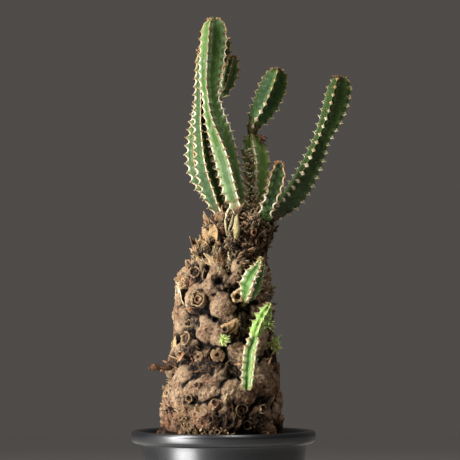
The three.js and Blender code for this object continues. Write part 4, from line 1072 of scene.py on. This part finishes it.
def stem_parts(block, spec, draw, look):
    """One ribbed stem with scalloped horny margins, and its spines, added to a block."""
    turns, peg, path, pitch, depths, spine = spec
    line = StemLine(path, peg)
    foot, tip_turn = turns if isinstance(turns, tuple) else (turns, turns)
    bead, split, dotted = look["bead"], look["split"], look["dotted"]

    def turn_at(s):
        return foot + (tip_turn - foot) * smooth(0.25, 0.55, np.asarray(s) / line.length)

    teeth = round((line.length - line.ribbed) / pitch)
    step = (line.length - line.ribbed) / teeth
    first = line.ribbed + 0.45 * step
    last = first + (teeth - 1) * step
    rows = [s for s in (0.0, line.ribbed - 6, line.ribbed - 4, line.ribbed - 2, line.ribbed) if s >= 0]
    steps = [first + (i + share) * step for i in range(-1, teeth - 1) for share in ROW_SHARES]
    rows += [s for s in steps if s > line.ribbed + 0.2]
    rows += [last + (line.length - last) * share for share in (0, 0.1, 0.2, 0.4, 0.6, 0.75, 0.88, 0.96, 1.0)]
    rows = np.array(rows)
    offsets = np.array([draw(-0.22, 0.22) * step for _ in range(5)])
    offsets[4] = offsets[0]

    def place(column, row):
        s = rows[np.clip(row - 1, 0, len(rows) - 1)]
        opened = smooth(line.ribbed - 5, line.ribbed + 8, s)
        quarter, part = column // QUARTER, column % QUARTER
        fade = opened * (1 - smooth(line.length - 12, line.length - 2, s))
        slide = smooth(0.15, 0.85, part / QUARTER)
        slide = offsets[quarter] + (offsets[quarter + 1] - offsets[quarter]) * slide
        point, way, front, side, radius = line.at(np.clip(s + slide * fade, 0, line.length))
        share = ((s - first) / step) % 1
        tooth = np.exp(-(np.minimum(share, 1 - share) / 0.16) ** 2)
        deep = depths[0] + (depths[1] - depths[0]) * smooth(0.4, 0.85, s / line.length)
        deep *= opened * (0.88 + 0.22 * np.sin(s * 0.9 + foot))
        deep *= 1 - smooth(line.length - 4, line.length, s)
        reach = radius + 0.5 * tooth * opened - deep * (1 - (2 * share - 1) ** 2) ** 0.6
        width = bead * opened * (0.7 + 0.9 * tooth) * (1.1 - 0.45 * smooth(0.35, 0.7, s / line.length))
        width *= 1 + 0.9 * dotted * tooth
        u = np.clip((part - 4) / (QUARTER - 8), 0, 1)
        start = np.stack([radius - 0.9 * deep - 1.7, bead * opened + 0.7 + 0.3 * tooth * opened], -1)
        end = start[:, ::-1]
        valley = (radius * look["valley"] / math.sqrt(2))[:, None]
        bend = (valley * (1 + CREASE) - (start + end) / 2) / CREASE
        t = u[:, None]
        flat = start * (1 - t) ** 2 + bend * 2 * CREASE * t * (1 - t) + end * t ** 2
        flat /= (1 - t) ** 2 + 2 * CREASE * t * (1 - t) + t ** 2
        for k, drop, share_out in ((0, split, 0), (1, 0.2, 0.6), (2, 0.95, 1), (3, 1.35, 1.2)):
            edge = np.stack([reach - drop, width * share_out], -1)
            flat[part == k] = edge[part == k]
            flat[part == QUARTER - k] = edge[part == QUARTER - k, ::-1]
        theta = np.radians(90 * part / QUARTER)
        plain = np.stack([np.cos(theta), np.sin(theta)], -1) * radius[:, None]
        flat = plain + (flat - plain) * opened[:, None]
        flat[(row == 0) | (row == len(rows) + 1)] = 0
        angle = np.radians(turn_at(s) + 90 * quarter)
        ca, sa = np.cos(angle), np.sin(angle)
        x = flat[:, 0] * ca - flat[:, 1] * sa
        y = flat[:, 0] * sa + flat[:, 1] * ca
        points = point + front * x[:, None] + side * y[:, None]
        points += way * np.where(row == len(rows) + 1, look["cap"], 0.0)[:, None]
        face = np.sin(np.pi * u)
        wobble = noise_at(points, 7, octaves=2) * 0.3 * face * opened
        points += (front * (ca - sa)[:, None] + side * (ca + sa)[:, None]) * wobble[:, None] * 0.7
        margin = np.where((part <= 2) | (part >= QUARTER - 2), 1.0, 0.0)
        margin *= smooth(line.ribbed - 2, line.ribbed + 5, s)
        margin *= (1 - dotted * (1 - smooth(0.1, 0.4, tooth)) * 0.85) * look["horny"]
        tooth = np.where(part == 0, np.maximum(tooth, min(1, 2 * split)), tooth) * (1 - 0.75 * dotted)
        tip = smooth(line.length - look["tip"], line.length - 2, s)
        base = 1 - smooth(line.ribbed, line.ribbed + look["base"], s)
        return points, (margin, face, tip, tooth, base)

    block.take(wrapped(4 * QUARTER, len(rows) + 1, place, STEM_MARKS))
    for i in range(teeth):
        for k in range(4):
            s = first + i * step
            opened = float(smooth(line.ribbed - 5, line.ribbed + 8, s))
            if opened < 0.3:
                continue
            slide = offsets[k] * opened * (1 - float(smooth(line.length - 12, line.length - 2, s)))
            point, way, front, side, radius = line.frame_at(s + slide)
            angle = math.radians(float(turn_at(s + slide)) + 90 * k)
            out = front * math.cos(angle) + side * math.sin(angle)
            across = way.cross(out)
            young = float(smooth(line.length - look["tip"], line.length - 4, s))
            for hand in (-1, 1):
                lean = out * 0.8 + across * hand * draw(0.5, 1.0) + way * draw(-0.5, 0.6)
                root = point + out * (radius - 0.6) + across * hand * 0.3
                length = spine * draw(0.5, 1.2) * (1 - 0.15 * young)
                block.take(stick(root, root + lean.normalized() * length, 0.34, 0.06, 4), finish=1,
                           shade=min(1, draw(0, 0.5) + 0.7 * young))
    end, way, front, side, radius = line.frame_at(line.length - 0.6)
    for i in range(look["crest"]):
        swing, spread = GOLDEN_RADIANS * i, 0.3 + 0.9 * i / look["crest"]
        level = front * math.cos(swing) + side * math.sin(swing)
        root = end + level * radius * 1.2 * i / look["crest"] - way * 1.2
        aim = way * math.cos(spread) + level * math.sin(spread)
        block.take(stick(root, root + aim * draw(1.8, 3.2), 0.42, 0.08, 4), finish=1, shade=draw(0.4, 1))


def fork_litter(block):
    """Dry stipules that hang about the forked stem, and the dead, spiny bud at its top right."""
    draw = Draws(640)
    for _ in range(FORK_BITS):
        height = draw(0, 1) ** 1.9
        root = Vector((25 + draw(-8, 5 - 5 * height), -1.2 - draw(0, 2.4), 307 + 52 * height))
        aim = Vector((draw(-1, 1), draw(-0.7, 0.1), draw(-1, 1))).normalized()
        radius = draw(0.3, 0.9)
        bit = stick(root, root + aim * draw(1.4, 4.6), radius, radius * 0.4, 5)
        block.take(bit, finish=1, shade=draw(0, 1) ** 3)
    heart = Vector((31.5, 4.5, 367))
    for _ in range(BUD_BITS):
        aim = Vector((draw(-0.5, 1), draw(-0.9, 0.3), draw(-1, 1))).normalized()
        block.take(stick(heart, heart + aim * draw(2.5, 5.2), 0.7, 0.1, 4), finish=1, shade=draw(0.7, 1))


def leaf_part(long, width, droop):
    """A narrow pointed leaf, folded along its midrib, rooted at the origin and running up Z."""
    def place(u, v):
        wide = width / 2 * (0.45 + 1.6 * v * (1 - v)) * (1.03 - v ** 2.2)
        return Vector((u * wide, abs(u) * wide * 0.55 - droop * long * v * v, long * v))
    return plate(2, 5, place, 0.5)


def tuft_block(trunk, spec, seed):
    """A leafy tuft on its low boss, with leaves spread from the heart in a spiral."""
    angle, z, size, leaves = spec
    block = Block("shade", "rim", *STEM_MARKS)
    draw = Draws(seed)
    seat = trunk.seat(angle, z, 0)
    seat.translation = trunk.at(angle, z, -1)
    boss = turned([(0, -5), (1.7, -5), (1.9, 0), (2.5, 1.8), (2.4, 3.2), (1.4, 4.4), (0, 4.6)], 14)
    block.take(boss, seat, shade=0.3, margin=0.45, face=0.2, tip=0.2, base=0.3)
    for i in range(leaves):
        turn, spread = GOLDEN_RADIANS * i, 0.1 + 1.3 * math.sqrt(i / leaves)
        long = size * draw(0.75, 1.1) * (0.7 + 0.3 * i / leaves)
        lean = seat @ Matrix.Translation((0, 0, 2.6))
        lean = lean @ Matrix.Rotation(turn, 4, "Z") @ Matrix.Rotation(spread, 4, "X")
        leaf = leaf_part(long, size * draw(0.3, 0.44), draw(-0.25, 0.1))
        block.take(leaf, lean, finish=1, shade=draw(0.3, 1.0))
    for i in range(18):
        turn, spread = 1.7 * i, draw(0.5, 1.35)
        aim = Vector((math.sin(spread) * math.cos(turn), math.sin(spread) * math.sin(turn), math.cos(spread)))
        needle = stick(aim * 2, aim * draw(4.5, 0.95 * size + 1), 0.32, 0.06, 4)
        block.take(needle, seat @ Matrix.Translation((0, 0, 1.5)), finish=2, shade=draw(0, 0.6))
    return block


# Settings that a user would change.


def length_setting(name, description, value):
    return FloatProperty(name=name, description=description, default=value * MM, min=0.0, unit="LENGTH")


def colour_setting(name, description, hex_colour):
    return FloatVectorProperty(name=name, description=description, default=linear(hex_colour), size=4,
                               min=0.0, max=1.0, subtype="COLOR")


class EuphorbiaPotSettings(bpy.types.PropertyGroup):
    steps: IntProperty(name="Turning steps", description="Faces round the pot", default=144, min=24)
    rounding: length_setting("Corner rounding", "Radius of the pot's rounded corners", 0.7)
    plastic: colour_setting("Plastic", "Colour of the moulded plastic", "#141518")


class EuphorbiaTrunkSettings(bpy.types.PropertyGroup):
    crevice: length_setting("Crevice depth", "Extra depth of the clefts between the trunk's lumps", 2.2)
    middle: colour_setting("Middle bark", "Main colour of the bark", "#866951")
    pale: colour_setting("Pale bark", "Colour of the dusty bark", "#b09678")
    red: colour_setting("Red bark", "Colour of the bark's reddish patches", "#6f4838")


class EuphorbiaStemSettings(bpy.types.PropertyGroup):
    spine: length_setting("Spine length", "Length of the paired spines on the stems", 1.6)
    bead: length_setting("Margin half width", "Half the width of the horny line on each rib", 0.7)
    deep: colour_setting("Deep green", "Darker green of the stem's skin", "#3a5422")
    fresh: colour_setting("Middle green", "Main colour of the stem's skin", "#547034")
    bright: colour_setting("Pale green", "Palest streaks of the stem's skin", "#82926a")


class EuphorbiaStageSettings(bpy.types.PropertyGroup):
    floor: colour_setting("Floor", "Colour of the plain studio floor", "#bdbab6")
    key: FloatProperty(name="Key light", description="Power of the tall soft light at the left, in watts",
                       default=14.6, min=0.0, unit="POWER")
    distance: length_setting("Camera distance", "Distance of the camera in front of the pot's middle", 1500)


class EUPHORBIA_OT_pot(bpy.types.Operator):
    """Turns the nursery pot and drills its drain holes"""
    bl_idname = "euphorbia.pot"
    bl_label = "Build pot"

    def execute(self, context):
        settings = context.scene.euphorbia_pot
        plastic = moulded_polypropylene(settings.plastic)
        piece = pot_block(settings).finish("pot_wall", [plastic], "pot_plastic", ["pot"])
        turns = [2 * math.pi * (i + 0.5) / DRAIN_HOLES for i in range(DRAIN_HOLES)]
        spots = [(DRAIN_CIRCLE * math.cos(t), DRAIN_CIRCLE * math.sin(t)) for t in turns]
        drill(piece, spots, DRAIN_RADIUS, -1, FLOOR_Z + 2)
        return {"FINISHED"}


class EUPHORBIA_OT_soil(bpy.types.Operator):
    """Fills the pot with crumbly potting mix"""
    bl_idname = "euphorbia.soil"
    bl_label = "Build soil"

    def execute(self, context):
        soil_block().finish("potting_soil", [potting_mix()], "soil", ["soil"])
        return {"FINISHED"}


class EUPHORBIA_OT_trunk(bpy.types.Operator):
    """Shapes the woody caudex with its lumps, clefts, branch scars, flakes and litter"""
    bl_idname = "euphorbia.trunk"
    bl_label = "Build trunk"

    def execute(self, context):
        settings = context.scene.euphorbia_trunk
        trunk = Trunk(settings.crevice / MM)
        bark = weathered_bark(settings.middle, settings.pale, settings.red)
        shed = papery_bark("curled_shed_bark", SHED_STOPS, "#2a1c12")
        woody = papery_bark("corky_branch_scar", WOODY_STOPS, "#0f0906")
        straw = papery_bark("dry_straw_stalk", STRAW_STOPS, "#5d4a30")
        trunk_block(trunk).finish("caudex_bark", [bark], "caudex_bark", ["caudex"])
        scars_block(trunk).finish("branch_scars", [woody], "caudex_bark")
        flakes_block(trunk).finish("bark_flakes", [shed], "caudex_bark")
        litter_block(trunk).finish("crown_litter", [shed], "caudex_bark")
        spindle_block(trunk).finish("dry_spindle", [straw], "caudex_bark")
        return {"FINISHED"}


class EUPHORBIA_OT_stems(bpy.types.Operator):
    """Grows the four-angled stems with their scalloped margins and spines"""
    bl_idname = "euphorbia.stems"
    bl_label = "Build stems"

    def execute(self, context):
        settings = context.scene.euphorbia_stem
        lit = waxy_skin("waxy_stem_skin", settings.deep, settings.fresh, settings.bright, linear("#8a6a45"))
        skins = {name: waxy_skin(name, *map(linear, colours)) for name, colours in OTHER_SKINS.items()}
        spines = dry_spine()
        bead = settings.bead / MM
        own = {
            "stem_right": {"dotted": 1}, "stem_fork_upper": {"dotted": 0.6},
            "stem_short": {"bead": 1.3 * bead, "base": 17}, "stem_fork_lower": {"bead": 1.6 * bead, "tip": 8},
        }
        for number, (name, (turn, peg, path)) in enumerate(STEMS.items()):
            block = Block("shade", *STEM_MARKS)
            spec = (turn, peg, path, TOOTH_PITCH, TOOTH_DEPTHS, settings.spine / MM)
            stem_parts(block, spec, Draws(100 + number), {**STEM_LOOK, "bead": bead, **own.get(name, {})})
            if name == "stem_fork_lower":
                fork_litter(block)
            # Stems in shade take a skin with painted shade; the lower fork stem takes one with painted light.
            skin = skins.get(SKIN_OF_STEM.get(name), lit)
            block.finish(f"{name}_skin", [skin, spines], "stem_skin", [name])
        return {"FINISHED"}


class EUPHORBIA_OT_shoots(bpy.types.Operator):
    """Grows the young shoots and leafy tufts on the trunk"""
    bl_idname = "euphorbia.shoots"
    bl_label = "Build shoots"

    def execute(self, context):
        trunk = Trunk(context.scene.euphorbia_trunk.crevice / MM)
        skins = {name: waxy_skin(name, *map(linear, colours)) for name, colours in SHOOT_SKINS.items()}
        bud_leaf = young_leaf(linear("#93b84a"), "#d3e689")
        tuft_leaf = young_leaf(linear("#4f7426"), "#a4c852")
        spines = dry_spine()
        shoots = {
            "flank": ("waxy_upper_shoot_skin", {"bead": 1.5, "split": 0.5, "valley": 0.5}, ["shoot_flank"]),
            "hanging": ("waxy_shoot_skin", {"bead": 1.1, "tip": 2.1, "cap": -4, "crest": 0, "valley": 0.42},
                        ["shoot_hanging"]),
            "rising": ("tender_shoot_skin", {"bead": 0.3, "tip": 2.1, "base": 2, "crest": 12, "horny": 0.58},
                       []),
        }
        for number, (name, (skin, own, nodes)) in enumerate(shoots.items()):
            block = Block("shade", *STEM_MARKS)
            stem_parts(block, SHOOTS[name], Draws(301 + number), {**SHOOT_LOOK, **own})
            block.finish(f"shoot_{name}_skin", [skins[skin], spines], "shoot_skin", nodes)
        for number, (name, spec) in enumerate(TUFTS.items()):
            leaf = bud_leaf if name == "bud_rosette" else tuft_leaf
            materials = [skins["tender_shoot_skin"], leaf, spines]
            tuft_block(trunk, spec, 400 + number).finish(f"{name}_leaves", materials, "shoot_skin", [name])
        return {"FINISHED"}


class EUPHORBIA_OT_stage(bpy.types.Operator):
    """Lays the plain floor and sets the studio lights and the camera"""
    bl_idname = "euphorbia.stage"
    bl_label = "Build stage"

    def execute(self, context):
        settings = context.scene.euphorbia_stage
        scene = context.scene
        bm = bmesh.new()
        bmesh.ops.create_circle(bm, cap_ends=True, segments=96, radius=3.2)
        mesh = bpy.data.meshes.new("studio_floor")
        bm.to_mesh(mesh)
        bm.free()
        floor = bpy.data.objects.new("studio_floor", mesh)
        scene.collection.objects.link(floor)
        # Seamless studio paper, dyed in the pulp: matt and even, and it fades into the air towards its edge.
        material, tree, place = new_material("matt_studio_paper")
        reach = add(tree, "ShaderNodeVectorMath", {0: place}, 1, operation="LENGTH")
        share = add(tree, RANGE, {0: reach, 1: 1.3, 2: 2.9}, **SOFT)
        paint = add(tree, SHADER, {"Base Color": settings.floor, "Roughness": 0.8})
        clear = add(tree, "ShaderNodeBsdfTransparent")
        blend = add(tree, "ShaderNodeMixShader", {0: share, 1: paint, 2: clear})
        add(tree, SURFACE, {"Surface": blend})
        mesh.materials.append(material)
        world = bpy.data.worlds.new("studio_air")
        world.use_nodes = True
        air = world.node_tree.nodes["Background"].inputs
        air["Color"].default_value, air["Strength"].default_value = linear("#8d8884"), 0.29
        scene.world = world
        aim = Vector((0, 0, 0.27))
        for name, spot, wide, tall, power in (
                ("key_light", (-0.62, -0.36, 0.52), 0.2, 0.85, settings.key),
                ("low_light", (-0.39, -0.315, 0.045), 0.24, 0.1, 1.6),
                ("top_light", (0.22, -0.5, 1.7), 0.28, 0.28, 8.0)):
            light = bpy.data.lights.new(name, "AREA")
            light.shape, light.size, light.size_y, light.energy = "RECTANGLE", wide, tall, power
            lamp = bpy.data.objects.new(name, light)
            lamp.location = spot
            level = Vector((0, 0, 0.08)) if name == "low_light" else aim
            lamp.rotation_euler = (level - Vector(spot)).to_track_quat("-Z", "Y").to_euler()
            scene.collection.objects.link(lamp)
        camera = bpy.data.cameras.new("photo_camera")
        camera.lens, camera.sensor_width = FOCAL_PIXELS * 36 / PICTURE_PIXELS, 36
        camera.clip_start, camera.clip_end = 0.05, 50
        holder = bpy.data.objects.new("photo_camera", camera)
        holder.location = (CAMERA_SIDE * MM, -settings.distance, CAMERA_HEIGHT * MM)
        holder.rotation_euler = (math.radians(90 + CAMERA_TILT), 0, 0)
        scene.collection.objects.link(holder)
        scene.camera = holder
        scene.view_settings.view_transform = "Standard"
        return {"FINISHED"}


class EUPHORBIA_PT_panel(bpy.types.Panel):
    """Lists the plant's settings and the steps that build it"""
    bl_label = "Potted euphorbia"
    bl_idname = "EUPHORBIA_PT_panel"
    bl_space_type = "VIEW_3D"
    bl_region_type = "UI"
    bl_category = "Euphorbia"

    def draw(self, context):
        layout = self.layout
        for group in ("euphorbia_pot", "euphorbia_trunk", "euphorbia_stem", "euphorbia_stage"):
            settings = getattr(context.scene, group)
            box = layout.box()
            for name in type(settings).__annotations__:
                box.prop(settings, name)
        for step in STEPS:
            layout.operator(step.bl_idname)


STEPS = (EUPHORBIA_OT_pot, EUPHORBIA_OT_soil, EUPHORBIA_OT_trunk, EUPHORBIA_OT_stems, EUPHORBIA_OT_shoots,
         EUPHORBIA_OT_stage)
GROUPS = {
    "euphorbia_pot": EuphorbiaPotSettings,
    "euphorbia_trunk": EuphorbiaTrunkSettings,
    "euphorbia_stem": EuphorbiaStemSettings,
    "euphorbia_stage": EuphorbiaStageSettings,
}


def register():
    for kind in (*GROUPS.values(), *STEPS, EUPHORBIA_PT_panel):
        bpy.utils.register_class(kind)
    for name, kind in GROUPS.items():
        setattr(bpy.types.Scene, name, PointerProperty(type=kind))


def unregister():
    for name in GROUPS:
        delattr(bpy.types.Scene, name)
    for kind in reversed((*GROUPS.values(), *STEPS, EUPHORBIA_PT_panel)):
        bpy.utils.unregister_class(kind)


def main():
    register()
    bpy.ops.euphorbia.pot()
    bpy.ops.euphorbia.soil()
    bpy.ops.euphorbia.trunk()
    bpy.ops.euphorbia.stems()
    bpy.ops.euphorbia.shoots()
    bpy.ops.euphorbia.stage()


if __name__ == "__main__":
    main()
